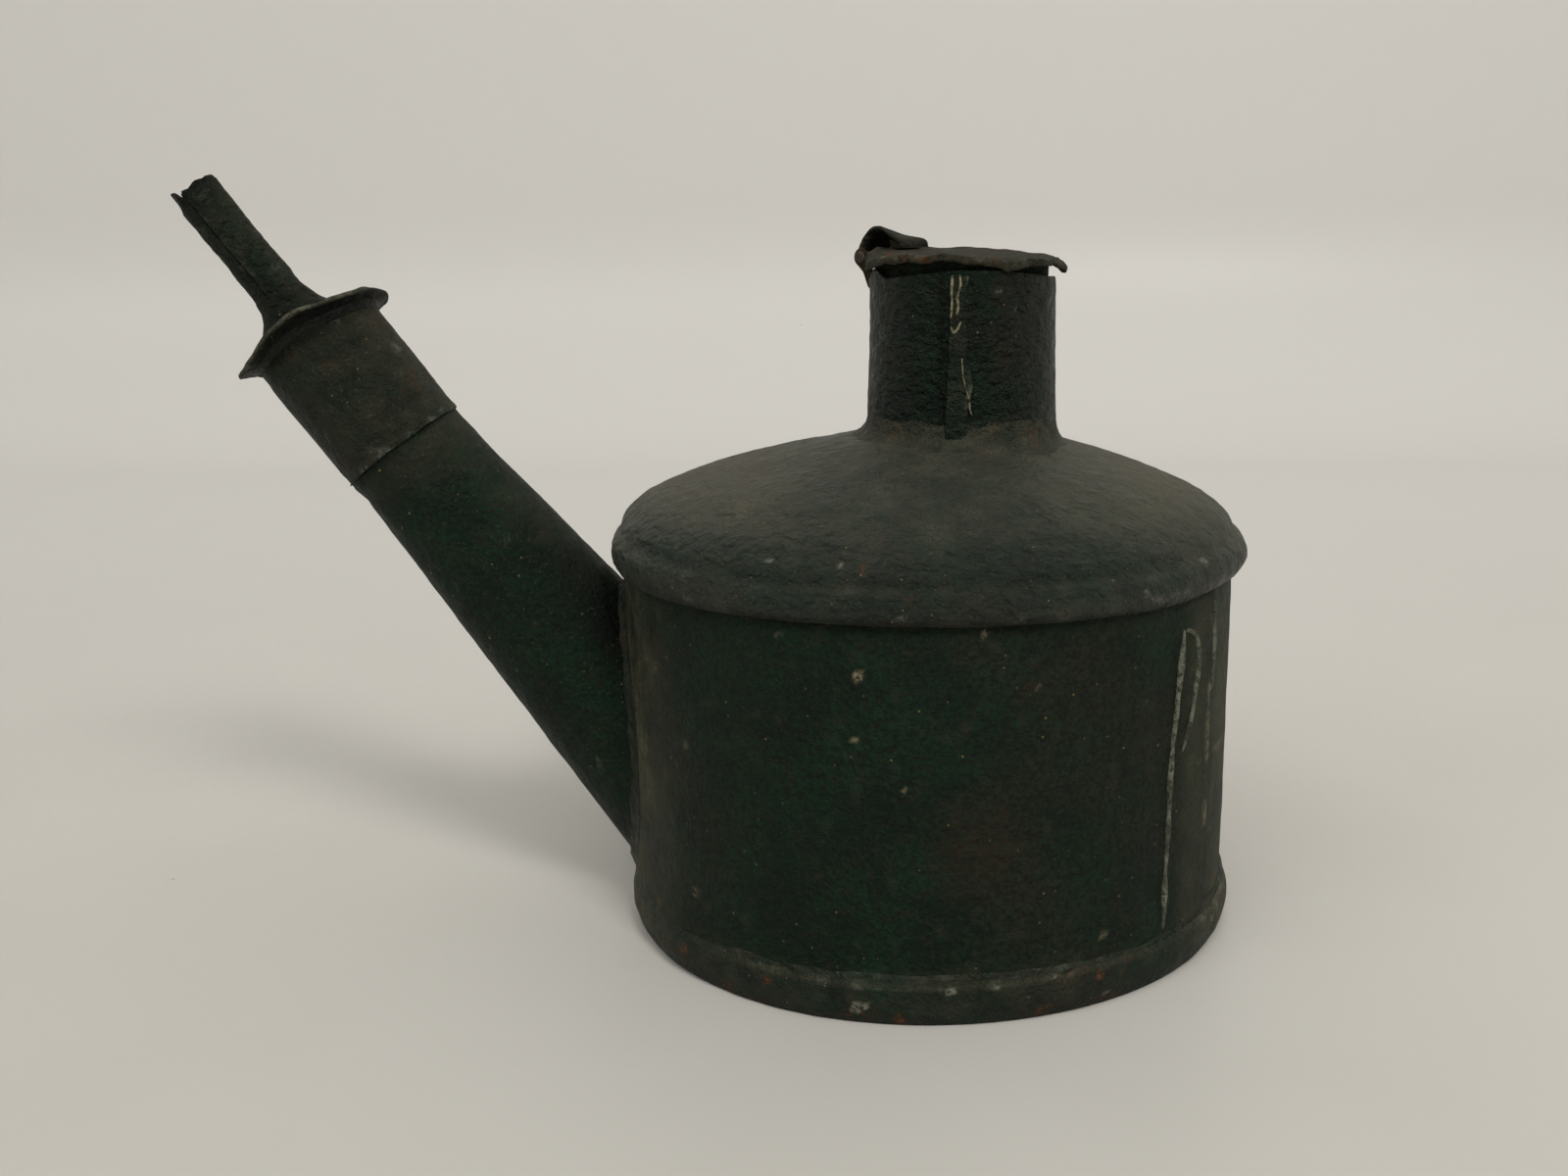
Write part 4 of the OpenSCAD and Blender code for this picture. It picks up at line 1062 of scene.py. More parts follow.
def make_strap():
    """The curled strap: up from the lid in a pinched loop, over and down round the wire."""
    pts = [[-7.2, 83.35], [-7.2, 83.75], [-7.4, 84.18], [-8.1, 84.38], [-9.0, 84.62], [-9.8, 84.92], [-10.35, 85.05],
           [-11.1, 85.0], [-11.9, 84.65], [-12.8, 84.0], [-13.5, 83.3]]
    ridge = [0, 0, 0, 0.12, 0.40, 0.8, 1, 1, 0.9, 0.6, 0.15]
    curl = [[PIN_X + 1.06 * math.cos(math.radians(t)), PIN_Z + 1.06 * math.sin(math.radians(t))]
            for t in range(150, 300, 12)]
    c = np.array([[x, z, w] for (x, z), w in zip(pts, ridge)] + [[x, z, 0] for x, z in curl])
    c = soften(dens(c, 0.28), 2)
    tan = np.gradient(c[:, :2], axis=0)
    tan /= np.linalg.norm(tan, axis=1)[:, None]
    nor = np.stack([-tan[:, 1], tan[:, 0]], -1)
    m = 15
    u = np.linspace(-1, 1, m)
    rows = []
    half_t = 0.24
    for i in range(len(c)):
        s_along = i / (len(c) - 1)
        half = 2.98 - 0.25 * bump(s_along, 0.05, 0.2)
        y = u * half
        e = np.clip((1 - np.abs(u)) / 0.12, 0.25, 1) ** 0.5
        lift = c[i, 2] * (-0.27 * y + 0.05) * 1.0
        shift = c[i, 2] * 0.05 * y
        up = np.stack([c[i, 0] + nor[i, 0] * half_t * e + shift, y, c[i, 1] + nor[i, 1] * half_t * e + lift], -1)
        dn = np.stack([c[i, 0] - nor[i, 0] * half_t * e + shift, y, c[i, 1] - nor[i, 1] * half_t * e + lift], -1)[::-1]
        rows.append(np.vstack([up, dn]))
    s = Skin(np.array(rows), cap0="strip", cap1="strip")
    far = np.hypot(s.V[:, 0] - PIN_X, s.V[:, 2] - PIN_Z)
    s.push(0.05 * noise(s.V, 1.8, 4) * sstep(far, 1.5, 2.4))
    s.V = from_lid(s.V)
    s.orient()
    W = s.V
    worn = 0.5 * sstep(noise(W, 1.8, 6), 0.2, 0.7) + 0.4 * bump(W[:, 2], 85.9, 0.8)
    return piece("lid_strap_skin", s, "lid", M_LID, ["lid_hinge_strap"], angle=45,
                 attrs={"dust": 0.06 + 0.14 * noise(W, 2, 3), "brown": 0.45 + 0 * W[:, 0], "worn": worn * 0.4,
                        "rust": 0.25 * sstep(noise(W, 2.2, 15), 0.3, 0.8)})


def plate(outline, y0, y1, edge=0.06):
    """A flat plate in the plane across the hinge wire, with its edges eased, from an outline of (x, z)."""
    o = dens(np.vstack([outline, outline[:1]]), 0.3)[:-1]
    mid = o.mean(0)
    rows = []
    for k, y in ((1 - 2.2 * edge, y0), (1 - 0.6 * edge, y0 + 0.03), (1, y0 + 0.12), (1, y1 - 0.12),
                 (1 - 0.6 * edge, y1 - 0.03), (1 - 2.2 * edge, y1)):
        q = mid + (o - mid) * k
        rows.append(np.stack([q[:, 0], 0 * q[:, 0] + y, q[:, 1]], -1))
    return Skin(np.array(rows), cap0="fan", cap1="fan")


def make_strap_fill():
    """The strap's foot is folded back under itself."""
    o = np.array([[-7.35, 83.3], [-7.4, 83.95], [-8.1, 84.2], [-9.0, 84.4], [-9.25, 84.3], [-9.0, 83.7], [-8.9, 83.3]])
    s = plate(o, -2.6, 2.5)
    s.push(0.05 * noise(s.V, 1.3, 4))
    s.V = from_lid(s.V)
    s.orient()
    W = s.V
    return piece("lid_strap_fold", s, "lid", M_LID, (), angle=45,
                 attrs={"dust": 0.08 + 0.1 * noise(W, 2, 3), "brown": 0.3 + 0 * W[:, 0], "worn": 0 * W[:, 0],
                        "rust": 0.1 + 0 * W[:, 0]})


def make_bracket():
    """Two small ears soldered to the neck, behind the curl, on one bent strip."""
    head = [[PIN_X + 1.05 * math.cos(math.radians(t)), PIN_Z + 1.05 * math.sin(math.radians(t))]
            for t in range(-120, 61, 15)][::-1]
    head = [[PIN_X + 1.08 * math.cos(math.radians(t)), PIN_Z + 1.08 * math.sin(math.radians(t))]
            for t in range(215, 24, -14)]
    out = np.array([[-11.25, 78.2], [-11.7, 78.5], [-12.5, 80.4], [-13.45, 81.3]] + head
                   + [[-11.55, 81.6], [-11.15, 80.6], [-11.15, 79.4]])
    for name, y in (("hinge_ear_a", -3.72), ("hinge_ear_b", 3.27)):
        s = plate(out, y, y + 0.45)
        s.push(0.03 * noise(s.V, 1.2, 4))
        s.V = from_lid(s.V)
        V = s.V
        piece(name, s, "tank", M_LID, ["hinge_bracket"] if name.endswith("a") else (), angle=50,
              attrs={"dust": 0.05 + 0.1 * noise(V, 1.5, 3), "brown": 0.4 + 0 * V[:, 0],
                     "worn": 0.3 * sstep(noise(V, 1.4, 6), 0.3, 0.8), "rust": 0.2 + 0.3 * noise(V, 1.6, 9)})
    # the strip between the ears lies on the neck
    n, m = 22, 15
    y = np.linspace(-3.7, 3.7, m)
    rows = []
    for i, z in enumerate(np.linspace(76.4, 79.5, n)):
        e = min(1.0, 0.35 + min(i, n - 1 - i) / 3)
        half = 1 - 0.10 * (1 - min(1, i / 6))
        ang = np.arcsin(y * half / 11.7)
        R = neck_r(z)
        ro = R + 0.12 + 0.30 * e * np.clip((1 - np.abs(y) / 3.7) / 0.12, 0.3, 1)
        o = np.stack([-ro * np.cos(ang), ro * np.sin(ang), z + 0 * y], -1)
        q = np.stack([-(R - 0.2) * np.cos(ang), (R - 0.2) * np.sin(ang), z + 0 * y], -1)[::-1]
        rows.append(np.vstack([o, q]))
    s = Skin(np.array(rows), cap0="strip", cap1="strip")
    s.push(0.03 * noise(s.V, 1.3, 14))
    s.V = from_lid(s.V)
    V = s.V
    piece("hinge_back_strip", s, "tank", M_LID, (), angle=45,
          attrs={"dust": 0.10 + 0.15 * noise(V, 2, 3), "brown": 0.4 + 0 * V[:, 0],
                 "worn": 0.4 * sstep(noise(V, 1.8, 6), 0.3, 0.8), "rust": 0.3 * sstep(noise(V, 2, 9), 0.2, 0.7)})


def make_pin():
    """Hinge wire, cut a little unevenly and peened at its ends."""
    nj = 28
    a = 2 * math.pi * np.arange(nj) / nj
    rows = []
    for y in np.concatenate([[-3.93, -3.90, -3.82], np.linspace(-3.7, 3.7, 30), [3.82, 3.90, 3.93]]):
        k = abs(y) - 3.75
        r = 0.68 if k < 0 else (0.72 if k < 0.1 else (0.62 if k < 0.16 else 0.45))
        P = np.stack([PIN_X + r * np.cos(a), 0 * a + y, PIN_Z + r * np.sin(a)], -1)
        rows.append(P)
    s = Skin(np.array(rows), cap0="fan", cap1="fan")
    s.V = from_lid(s.V)
    return piece("hinge_wire", s, "tank", M_IRON, ["hinge_pin"], angle=60)


def make_strap_solder():
    n = 26
    y = np.linspace(-2.5, 2.5, n)
    base = np.stack([0 * y - 8.9, y, 0 * y + 83.3], -1)
    P = from_lid(base)
    up = np.tile(np.array([[-0.25, 0, 0.97]]), (n, 1))
    c, sn = math.cos(HINGE_TURN), math.sin(HINGE_TURN)
    up = up @ np.array([[c, sn, 0], [-sn, c, 0], [0, 0, 1]])
    lump = 1 + 0.2 * noise(P, 1.6, 3)
    s = bead(P, up, 1.5 * lump * (0.6 + 0.4 * tapered(n)), 0.34 * lump * tapered(n), sink=0.35, n=9)
    s.push(0.04 * noise(s.V, 0.9, 7))
    V = s.V
    return piece("strap_foot_solder", s, "lid", M_SOLDER, ["lid_strap_solder"],
                 attrs={"dust": 0.4 + 0.2 * noise(V, 2, 3), "brown": 0.5 + 0 * V[:, 0], "worn": 0 * V[:, 0],
                        "rust": 0.3 + 0 * V[:, 0]})


# ---------------------------------------------------------------- burner
def cap_plane(x):
    """Height of the flange's underside in the burner's frame."""
    return SLEEVE_L - x * math.tan(CAP_TILT)


def flange_bow(r, az):
    """How far the warped flange stands above its flat plane."""
    k = sstep(r, 6.4, 10.5)
    return k * (2.3 * bump(az, -77, 64) + 1.25 * bump(az, -20, 46) + 0.35 * bump(wrap(az - 180), 0, 50))


def make_sleeve():
    nj = int(2 * math.pi * 8.3 / STEP)
    a = 2 * math.pi * np.arange(nj) / nj
    d = wrap(np.degrees(a))
    ringp = np.stack([8 * np.cos(a), 8 * np.sin(a), 0 * a], -1)
    mouth = 0.16 * noise(ringp, 5, 2) + 0.08 * noise(ringp, 1.8, 4)
    nk = int(16.6 / STEP)
    rows, wt, ts = [], [], []

    def ring(r, t, w):
        rows.append(np.stack([r * np.cos(a), r * np.sin(a), t], -1))
        wt.append(w)
        ts.append(float(np.mean(t)))

    for i in range(nk + 1):
        u = i / nk
        t = (0.08 + mouth) * (1 - u) + (cap_plane(8.28 * np.cos(a)) - 0.02 + flange_bow(8.28, d)) * u
        ring(8.28 + 0 * a, t, min(1, 0.3 + i / 3) * min(1, (nk - i) / 3))
    for i in range(13):
        u = 1 - i / 12
        t = (0.08 + mouth) * (1 - u) + (cap_plane(7.92 * np.cos(a)) - 0.02 + flange_bow(7.92, d)) * u
        ring(7.92 + 0 * a, t, 0)
    ring(7.97 + 0 * a, mouth, 0)
    ring(8.18 + 0 * a, mouth - 0.02, 0)
    s = Skin(np.array(rows), close_k=True)
    w = s.rows(wt)
    L = s.V.copy()
    s.V[:, :2] *= (1 + 0.10 / 8.28 * (noise(L * [1, 1, 0.2], 6, 33) * w * (1 - sstep(L[:, 2], 0, 4))))[:, None]
    dd = wrap(np.degrees(np.arctan2(L[:, 1], L[:, 0])) - 200)
    # lapped seam and a slightly flared, uneven mouth
    h = 0.10 * fbm(L, 8, 3, 2) + 0.06 * noise(L, 2.2, 6) + 0.03 * noise(L, 1.1, 9)
    h += 0.14 * sstep(dd, -16, -5) * (1 - sstep(dd, -4, -2.6)) + 0.06 * bump(L[:, 2], 0.3, 1.0)
    h -= 0.48 * bump(wrap(dd + 5), 0, 80) + 0.08 - 0.04 * noise(L, 0.8, 19)
    s.push(h * np.maximum(w, s.rows([1.0 if q > 0 else 0.0 for q in wt])))
    # painted shadow: shade is the flange's shadow on the sleeve, made near black through the soot amount
    shade = under_flange(L)
    s.V = from_burner(s.V)
    V = s.V
    az = wrap(np.degrees(np.arctan2(L[:, 1], L[:, 0])))
    upper = 1 - sstep(np.abs(az), 15, 70)
    rout = w > 0.01
    dust = 0.05 + 0.15 * upper + 0.14 * noise(V, 2.4, 4) + 0.12 * bump(az, -165, 22) + 0.10 * sstep(L[:, 2], 13, 16)
    worn = 0.6 * bump(L[:, 2], 0.15, 0.7) * sstep(noise(V, 2.0, 12), -0.1, 0.5) + 0.35 * sstep(noise(V, 2.2, 16), 0.5, 0.85)
    worn += 0.4 * bump(dd, -5, 4) * sstep(noise(V, 2.0, 18), 0, 0.5)
    return piece("burner_sleeve_skin", s, "burner", M_SLEEVE, ["burner_sleeve"],
                 attrs={"dust": dust * rout, "brown": 0.45 + 0.3 * noise(V, 5, 14), "worn": worn * rout,
                        "rust": 0.35 * sstep(noise(V, 4, 24), 0.35, 0.8) * rout, "soot": 0.95 * shade * rout})


def under_flange(L):
    """1 close under the flange, 0 further down the sleeve, in the burner's own frame; it gives the flange's painted
    shadow on the sleeve.
    """
    az = wrap(np.degrees(np.arctan2(L[:, 1], L[:, 0])))
    gap = cap_plane(L[:, 0]) + flange_bow(np.hypot(L[:, 0], L[:, 1]), az) - L[:, 2]
    return (1 - sstep(gap, 0.8, 2.8)) * bump(az, -90, 110)


def make_sleeve_seam():
    n = 48
    t = np.linspace(0.5, 15.6, n)
    base = np.stack([0 * t, 0 * t, t], -1)
    a = np.radians(200.5 + 1.2 * noise(base, 4, 3))
    P = np.stack([7.80 * np.cos(a), 7.80 * np.sin(a), t], -1)
    up = np.stack([np.cos(a), np.sin(a), 0 * a], -1) @ axes(LEAN)
    P = from_burner(P)
    lump = 1 + 0.25 * noise(P, 2.5, 6)
    s = bead(P, up, 1.25 * lump * (0.5 + 0.5 * tapered(n, 0.08)), 0.22 * lump * tapered(n, 0.08), sink=0.12, n=10)
    V = s.V
    return piece("sleeve_seam_run", s, "burner", M_SOLDER, ["sleeve_seam_solder"],
                 attrs={"dust": 0.35 + 0.3 * noise(V, 3, 3), "brown": 0.3 + 0 * V[:, 0],
                        "worn": 0.6 * sstep(noise(V, 2.2, 5), -0.1, 0.5), "rust": 0 * V[:, 0]})


def make_flange():
    nj = 260
    a = 2 * math.pi * np.arange(nj) / nj
    d = wrap(np.degrees(a))
    edge = np.stack([10.6 * np.cos(a), 10.6 * np.sin(a), 0 * a], -1)
    R = 10.4 + 0.20 * noise(edge, 6, 2) + 0.12 * noise(edge, 2.2, 5) - 0.2 * bump(d, -60, 14)
    R = R - 0.45 * bump(wrap(d - 180), 0, 40) - 0.30 * bump(d, 0, 40)
    fr = [0.0, 0.12, 0.25, 0.38, 0.5, 0.62, 0.72, 0.8, 0.87, 0.92, 0.96, 0.99]
    R0 = 2.9
    prof = [(f, 0.55, 1) for f in fr] + [(1.0, 0.42, 1), (1.006, 0.26, 1), (0.998, 0.06, 1)]
    prof += [(f, 0.0, 0) for f in fr[::-1]]
    rows = []
    for f, z, t in prof:
        r = R0 + (R - R0) * f
        rows.append(np.stack([r * np.cos(a), r * np.sin(a), z + 0 * a], -1))
    s = Skin(np.array(rows), close_k=True)
    L = s.V.copy()
    r, az = np.hypot(L[:, 0], L[:, 1]), wrap(az_of(L))
    rim = sstep(r, 8.9, 10.5)
    dz = rim * (0.30 * noise(L * [1, 1, 0], 6, 3) + 0.16 * noise(L * [1, 1, 0], 2.4, 8))
    dz += flange_bow(r, az) + 0.30 * sstep(r, 9.6, 10.5) * bump(az, -4, 30)
    dz += 0.10 * fbm(L * [1, 1, 0], 5, 5, 2) * (L[:, 2] > 0.3)
    s.V[:, 2] += dz
    low = (L[:, 2] < 0.3) * rim
    s.V[:, 2] -= low * (0.02 + 0.12 * bump(wrap(az - 180), 0, 30) + 0.06 * noise(L, 3, 6))
    s.V = from_burner(cap_to_burner(s.V))
    s.orient()
    V = s.V
    # painted shade: the flange's underside is blackened through the soot amount; the pale line of dust on the rim's top
    # edge is partly a painted highlight
    upper = L[:, 2] > 0.3
    worn = 0.35 * sstep(r, 10.0, 10.4) * sstep(noise(V, 1.8, 9), -0.1, 0.5)
    dust = upper * (0.05 + 0.12 * noise(V, 3, 3)) + 0.12 * rim + 0.55 * sstep(r, 9.9, 10.3) * (L[:, 2] > 0.2)
    return piece("drip_flange_skin", s, "burner", M_SLEEVE, ["drip_flange"], angle=45,
                 attrs={"dust": dust, "brown": 0.6 + 0 * r, "worn": worn, "rust": 0.15 * sstep(noise(V, 3, 6), 0.2, 0.7),
                        "soot": 1.0 * (L[:, 2] < 0.3) * (1 - sstep(r, 10.0, 10.4)) + 0.45 * upper * (1 - rim)})


def make_flange_solder():
    n = int(2 * math.pi * 8.5 / STEP)
    a = 2 * math.pi * np.arange(n) / n
    ring = np.stack([8.6 * np.cos(a), 8.6 * np.sin(a), 0 * a], -1)
    big = 1 + 0.3 * noise(ring, 3.5, 3) + 0.2 * noise(ring, 1.5, 6)
    rows = []
    for dr, dz in ((-0.15, 0.0), (0.62, 0.02), (0.60, -0.12), (0.34, -0.28), (0.16, -0.48), (0.06, -0.72), (-0.15, -0.75)):
        r = 8.28 + dr * (big if dr > 0 else 1)
        rows.append(np.stack([r * np.cos(a), r * np.sin(a), cap_plane(r * np.cos(a)) + dz * big + 0.02
                              + flange_bow(r, wrap(np.degrees(a)))], -1))
    s = Skin(np.array(rows), close_k=True)
    s.V = from_burner(s.V)
    V = s.V
    # painted shade: the solder under the flange is made near black through the soot amount
    return piece("flange_solder_run", s, "burner", M_SOLDER, ["flange_solder"],
                 attrs={"dust": 0.0 + 0.1 * noise(V, 2, 3), "brown": 0.5 + 0 * V[:, 0], "worn": 0 * V[:, 0],
                        "soot": 0.95 + 0 * V[:, 0], "rust": 0.05 * sstep(noise(V, 3, 5), 0.2, 0.7)})


def make_wick_tube():
    """Rolled from a strip: the seam stays open, and the tip is notched and crushed."""
    m = 44
    gap = 0.20 / 2.9
    start = math.radians(-100) + gap / 2
    A = start + (2 * math.pi - gap) * np.linspace(0, 1, m)
    d = wrap(np.degrees(A))
    t_end = 38.7 + 0.35 * bump(d, -40, 50) + 1.15 * bump(wrap(d + 150), 0, 44) - 0.8 * bump(d, -112, 13)
    edge = np.stack([3 * np.cos(A), 3 * np.sin(A), 0 * A], -1)
    t_end = t_end + 0.28 * noise(edge, 1.1, 5)
    nk = int(24 / (STEP * 0.8))
    rows = []
    for i in range(nk + 1):
        u = i / nk
        t = 14.5 + (t_end - 14.5) * u
        P = np.stack([2.9 * np.cos(A), 2.9 * np.sin(A), t], -1)
        crush = sstep(t, 34.5, 39.5)
        # one edge rides over the other along the seam
        lap = 0.22 * bump(d, -93, 14) - 0.12 * bump(d, -112, 12)
        ro = 2.87 + lap * sstep(t, 20, 23) + 0.10 * noise(P, 3.4, 3) * sstep(t, 20, 24) + 0.09 * noise(P, 1.2, 7) + 0.05 * noise(P, 0.7, 27)
        ro = ro + crush * (0.22 * noise(P, 2.0, 11) * (1 - bump(wrap(d - 190), 0, 85)) + 0.05 * bump(d, -20, 60))
        ro = ro - 0.62 * sstep(t, 36.6, 39.6) * bump(wrap(d - 190), 0, 75) + 0.12 * bump(t, 36.4, 1.8) * bump(wrap(d - 200), 0, 60)
        ri = np.minimum(ro - 0.5, 2.36 + 0 * ro) * (1 - crush) + (ro - 0.5) * crush
        ri = np.maximum(ri, 2.30)
        ro = np.maximum(ro, ri + 0.30)
        o = np.stack([ro * np.cos(A), ro * np.sin(A), t], -1)
        n_ = np.stack([ri * np.cos(A), ri * np.sin(A), t - 0.02], -1)[::-1]
        rows.append(np.vstack([o, n_]))
    s = Skin(np.array(rows), cap0="strip", cap1="strip")
    L = s.V.copy()
    t = L[:, 2]
    s.V[:, 0] += -0.06 * sstep(t, 22, 39)
    s.V = from_burner(s.V)
    s.orient()
    V = s.V
    az = wrap(np.degrees(np.arctan2(L[:, 1], L[:, 0])))
    tip = sstep(t, 35.5, 39)
    dust = 0.06 + 0.14 * noise(V, 2.2, 3) + 0.12 * (1 - sstep(np.abs(az), 15, 60)) - 0.10 * tip
    worn = 0.5 * sstep(noise(V, 1.8, 8), 0.25, 0.7) + 0.6 * bump(az, -94, 8) * sstep(noise(V, 1.5, 12), 0, 0.5)
    return piece("wick_tube_skin", s, "burner", M_WICKTUBE, ["wick_tube"], angle=45,
                 attrs={"dust": dust, "brown": 0.2 + 0.5 * tip, "worn": worn * 0.35,
                        "soot": 0.15 + 0.75 * tip * bump(wrap(az + 125), 0, 60) + 0.35 * (1 - sstep(t, 20, 26)) + 0.3 * tip,
                        "rust": 0.35 * tip * sstep(noise(V, 2, 9), 0.2, 0.7)})


def make_wick_tube_solder():
    """Flared solder at the foot of the wick tube, reaching out towards the flange's edge."""
    nj = int(2 * math.pi * 4.5 / (STEP * 0.8))
    a = 2 * math.pi * np.arange(nj) / nj
    prof = soften(dens([[2.75, 7.3], [2.96, 7.2], [3.12, 6.4], [3.35, 5.3], [3.7, 4.2], [4.2, 3.2], [4.9, 2.35],
                        [5.8, 1.6], [6.7, 1.0], [7.5, 0.5]], 0.35), 2)
    prof = np.vstack([prof, dens([[7.5, 0.3], [2.75, 0.3]], 0.8)])
    P = turn(prof, nj)
    s = Skin(P, close_k=True)
    L = s.V.copy()
    r, az = np.hypot(L[:, 0], L[:, 1]), wrap(az_of(L))
    up = (L[:, 2] > 0.42)
    grow = up * sstep(r, 3.1, 5) * (0.35 * noise(L, 3, 4) + 0.15 * noise(L, 1.3, 7))
    wide = 1 + 0.14 * bump(wrap(az - 185), 0, 75) * sstep(r, 3.1, 4.2)
    s.V[:, :2] *= wide[:, None]
    s.V[:, 2] += np.maximum(grow + 0.75 * up * bump(az, -75, 80) * bump(r, 6.4, 2.6), -0.3) + flange_bow(r, az)
    s.V[:, 2] += 0.5 * up * bump(wrap(az - 185), 0, 60) * bump(r, 4.4, 1.8) + 0.4 * up * bump(az, 0, 50) * bump(r, 5.2, 2.4)
    s.push(0.05 * noise(s.V, 0.9, 5) * up)
    # the tube stands square to the sleeve, so the foot leans back from the tilted flange
    s.V = cap_to_burner(s.V)
    k = sstep(L[:, 2], 0.6, 3.4)
    s.V[:, 0] -= k * (L[:, 2] * math.sin(CAP_TILT)) + 0.10 * sstep(L[:, 2], 5, 7.3)
    s.V = from_burner(s.V)
    s.orient()
    V = s.V
    return piece("wick_tube_foot", s, "burner", M_WICKTUBE, ["wick_tube_solder"],
                 attrs={"dust": 0.08 + 0.15 * noise(V, 2, 3) - 0.1 * bump(az, -90, 50), "brown": 0.5 + 0 * r,
                        "worn": 0.1 * sstep(noise(V, 1.8, 8), 0.3, 0.8), "rust": 0.1 * sstep(noise(V, 3, 6), 0.2, 0.7),
                        "soot": 0.55 + 0.2 * noise(V, 3, 9)})


def make_wick():
    """Three-strand twisted cotton, charred at the top."""
    nj = 48
    a = 2 * math.pi * np.arange(nj) / nj
    t = np.arange(-65.8, 36.8, 0.55)
    rows = []
    for i, ti in enumerate(t):
        twist = ti * 0.42
        lobes = np.abs(np.cos(1.5 * (a - twist))) ** 0.6
        P = np.stack([2.1 * np.cos(a), 2.1 * np.sin(a), ti + 0 * a], -1)
        r = 1.82 + 0.32 * lobes + 0.05 * noise(P, 0.9, 3)
        top = sstep(ti, 35.6, 36.8)
        r = np.minimum(r, 2.15) * (1 - 0.35 * top)
        rows.append(np.stack([r * np.cos(a), r * np.sin(a), ti + 0.25 * top * noise(P, 0.8, 8)], -1))
    s = Skin(np.array(rows), cap0="fan", cap1="fan")
    L = s.V.copy()
    s.V = from_burner(s.V)
    s.orient()
    return piece("wick_rope", s, "wick", M_COTTON, ["wick"], angle=60,
                 attrs={"char": sstep(L[:, 2] + 1.2 * noise(L, 1.5, 4), 28, 36)})


def bore_cutter():
    """The passage through the wall, used only to cut the wall's skin."""
    nj = 72
    a = 2 * math.pi * np.arange(nj) / nj
    z = np.linspace(-74, -12, 20)[:, None]
    r = cone_r(z) - SHEET
    P = from_cone(np.stack([r * np.cos(a), r * np.sin(a), z + 0 * a], -1))
    s = Skin(P, cap0="fan", cap1="fan")
    me = bpy.data.meshes.new("cutter")
    me.from_pydata((s.V * 0.001).tolist(), [], s.Q.tolist() + s.T.tolist())
    o = bpy.data.objects.new("cutter", me)
    bpy.context.scene.collection.objects.link(o)
    return o


wall = make_wall()
make_body_seam()
make_pan()
make_base_solder()
make_dome()
make_shoulder_solder()
make_neck()
make_neck_seam()
make_neck_lines()
make_neck_solder()
make_spout()
make_spout_seam()
make_spout_root()
make_lid()
make_strap()
make_strap_fill()
make_bracket()
make_pin()
make_strap_solder()
make_sleeve()
make_sleeve_seam()
make_flange()
make_flange_solder()
make_wick_tube()
make_wick_tube_solder()
make_wick()

# the spout's passage through the wall
cutter = bore_cutter()
mod = wall.modifiers.new("bore", "BOOLEAN")
mod.operation, mod.object, mod.solver = "DIFFERENCE", cutter, "EXACT"
bpy.context.view_layer.update()
dg = bpy.context.evaluated_depsgraph_get()
cut = bpy.data.meshes.new_from_object(wall.evaluated_get(dg), preserve_all_data_layers=True, depsgraph=dg)
if len(cut.polygons) > 1000:
    old = wall.data
    wall.modifiers.clear()
    wall.data = cut
    bpy.data.meshes.remove(old)
else:
    wall.modifiers.clear()
bpy.data.objects.remove(cutter)

# CAD nodes that are right as they are get new paint
# painted shade: the lid's plug ring, seen in the gap under the lid, gets the near-black shade paint
for node, mat in (("lid_plug_ring", M_SHADE),):
    me = CAD[node].data
    me.materials.clear()
    me.materials.append(mat)

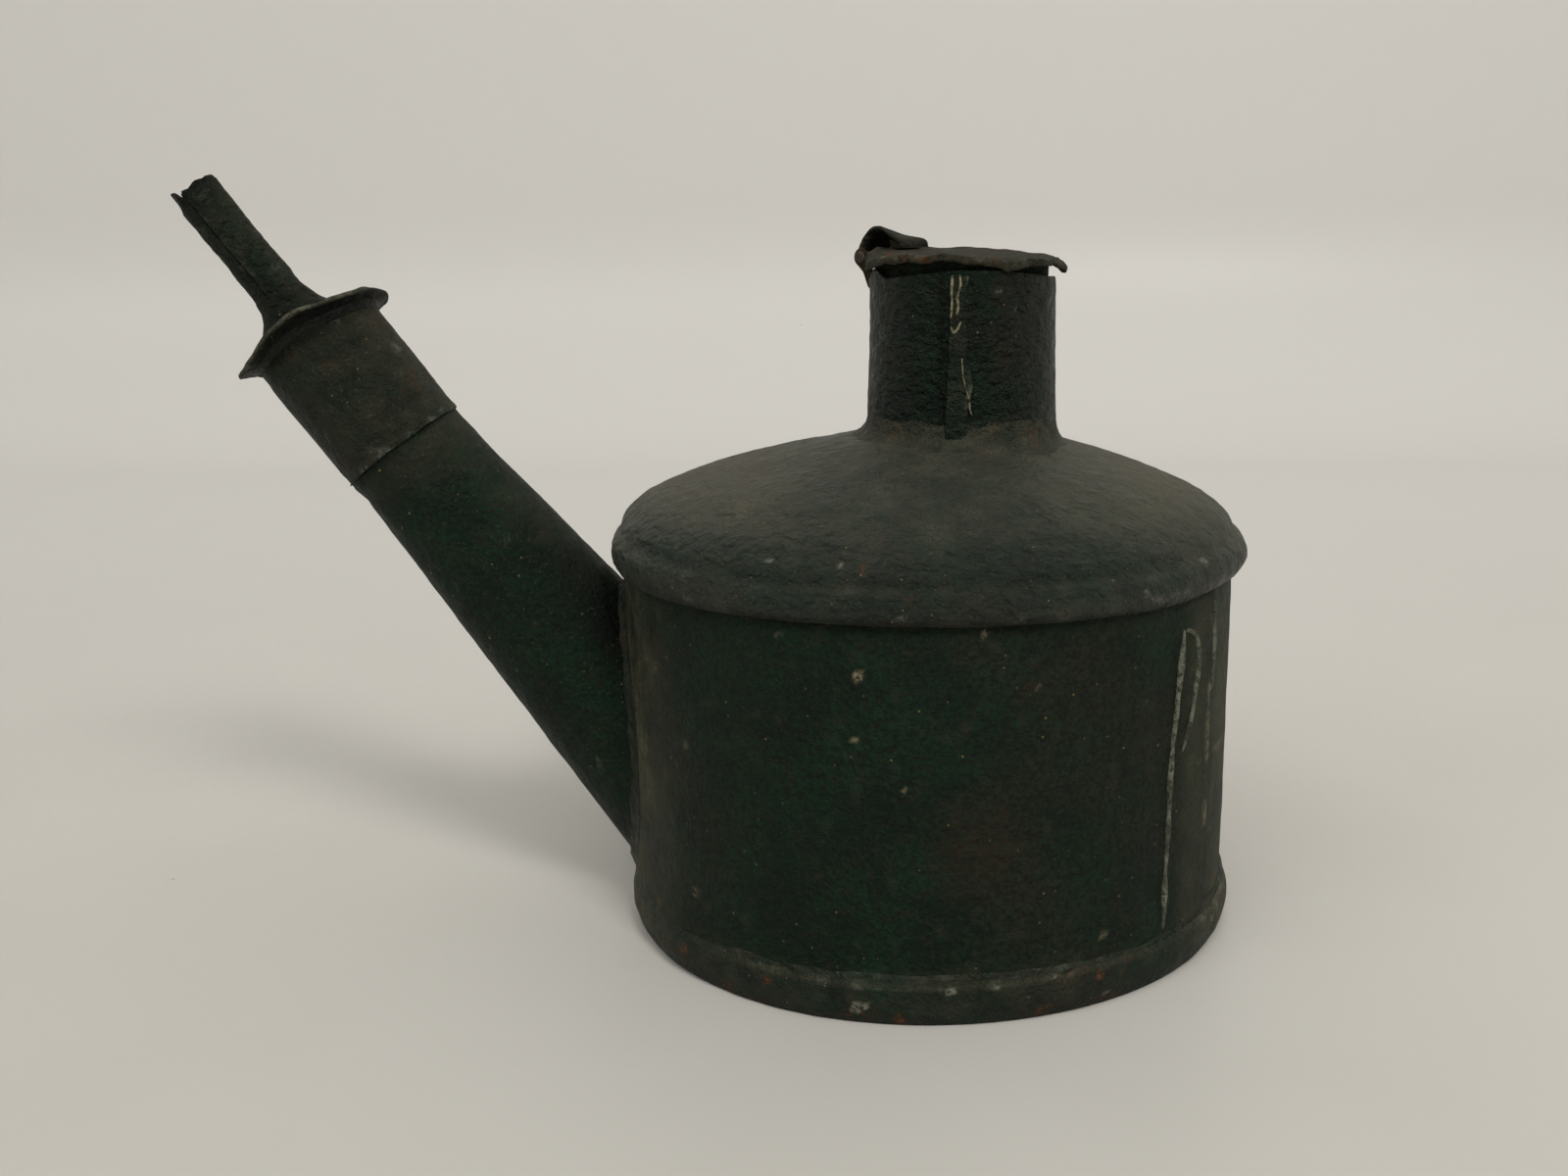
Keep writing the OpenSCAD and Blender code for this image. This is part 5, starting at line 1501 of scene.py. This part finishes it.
# ---------------------------------------------------------------- floor and light
def stage_floor():
    prof = [(-1.2, 0.0), (0.36, 0.0)]
    prof += [(0.36 + 0.09 * math.sin(t), 0.09 - 0.09 * math.cos(t)) for t in np.linspace(0.1, math.pi / 2, 14)]
    prof += [(0.45, 0.5), (0.45, 1.3)]
    xs = np.linspace(-1.6, 1.6, 9)
    V = [(x, y, z) for y, z in prof for x in xs]
    n = len(xs)
    F = [(i * n + j, i * n + j + 1, (i + 1) * n + j + 1, (i + 1) * n + j)
         for i in range(len(prof) - 1) for j in range(n - 1)]
    me = bpy.data.meshes.new("floor")
    me.from_pydata(V, [], F)
    me.update()
    me.shade_smooth()
    o = bpy.data.objects.new("floor", me)
    bpy.context.scene.collection.objects.link(o)
    s = Mat("pale_floor")
    f = s.noise(60.0, 3, 0.5)
    g = s.noise(1.2, 2, 0.5)
    c = s.mix(s.span(f, 0.35, 0.65), (0.560, 0.546, 0.510), (0.580, 0.566, 0.530))
    sep = s.nt.nodes.new("ShaderNodeSeparateXYZ")
    s.nt.links.new(s.co, sep.inputs[0])
    c = s.mix(s.span(sep.outputs["Y"], -0.1, 0.42), c, (0.740, 0.727, 0.695))
    dist, col = s.cells(17.0)
    few = s.math("MULTIPLY", s.span(dist, 0.012, 0.022, 1.0, 0.0), s.span(s.part(col, "Red"), 0.55, 0.57))
    c = s.mix(s.math("MULTIPLY", few, 0.45), c, (0.25, 0.22, 0.18))
    s.put(s.bsdf.inputs["Base Color"], c)
    s.put(s.bsdf.inputs["Roughness"], s.span(g, 0.3, 0.7, 0.33, 0.42))
    s.bsdf.inputs["Specular IOR Level"].default_value = 0.22
    s.relief(g, 0.02)
    o.data.materials.append(s.m)


stage_floor()


def area(name, at, aim, size, watts, colour):
    d = bpy.data.lights.new(name, "AREA")
    d.shape = "RECTANGLE"
    d.size, d.size_y = size
    d.energy, d.color = watts, colour
    o = bpy.data.objects.new(name, d)
    bpy.context.scene.collection.objects.link(o)
    o.location = at
    o.rotation_euler = (Vector(aim) - Vector(at)).to_track_quat("-Z", "Y").to_euler()


az, el = math.radians(-64), math.radians(46)
KEY = Vector((math.cos(az) * math.cos(el), math.sin(az) * math.cos(el), math.sin(el))) * 0.95
area("key", KEY, (0, 0, 0.04), (0.24, 0.24), 3.7, (1.0, 0.975, 0.925))
area("overhead", (0.25, 0.12, 1.2), (0.05, 0.06, 0), (1.6, 1.2), 3.2, (1.0, 0.98, 0.94))
area("wall_fill", (-0.6, -0.75, 1.25), (-0.40, 0.5, 0.60), (1.4, 0.7), 7.9, (1.0, 0.985, 0.95))

world = bpy.data.worlds.new("studio")
world.use_nodes = True
bg = world.node_tree.nodes["Background"]
bg.inputs["Color"].default_value = (0.98, 0.965, 0.93, 1)
bg.inputs["Strength"].default_value = 0.275
bpy.context.scene.world = world
bpy.context.scene.view_settings.view_transform = "Standard"
bpy.context.scene.view_settings.look = "None"

# ---------------------------------------------------------------- camera
cam = bpy.data.cameras.new("camera")
cam.sensor_width, cam.lens = 36.0, 37.125
cam.shift_x = -0.0675
cam.clip_start, cam.clip_end = 0.01, 20
co = bpy.data.objects.new("camera", cam)
bpy.context.scene.collection.objects.link(co)
co.location = (-0.00472, -0.2014, 0.0878)
co.rotation_mode = "QUATERNION"
co.rotation_quaternion = (Euler((math.radians(90) - 0.2291, 0, 0)).to_matrix() @ Matrix.Rotation(-0.008, 3, "Z")).to_quaternion()
bpy.context.scene.camera = co
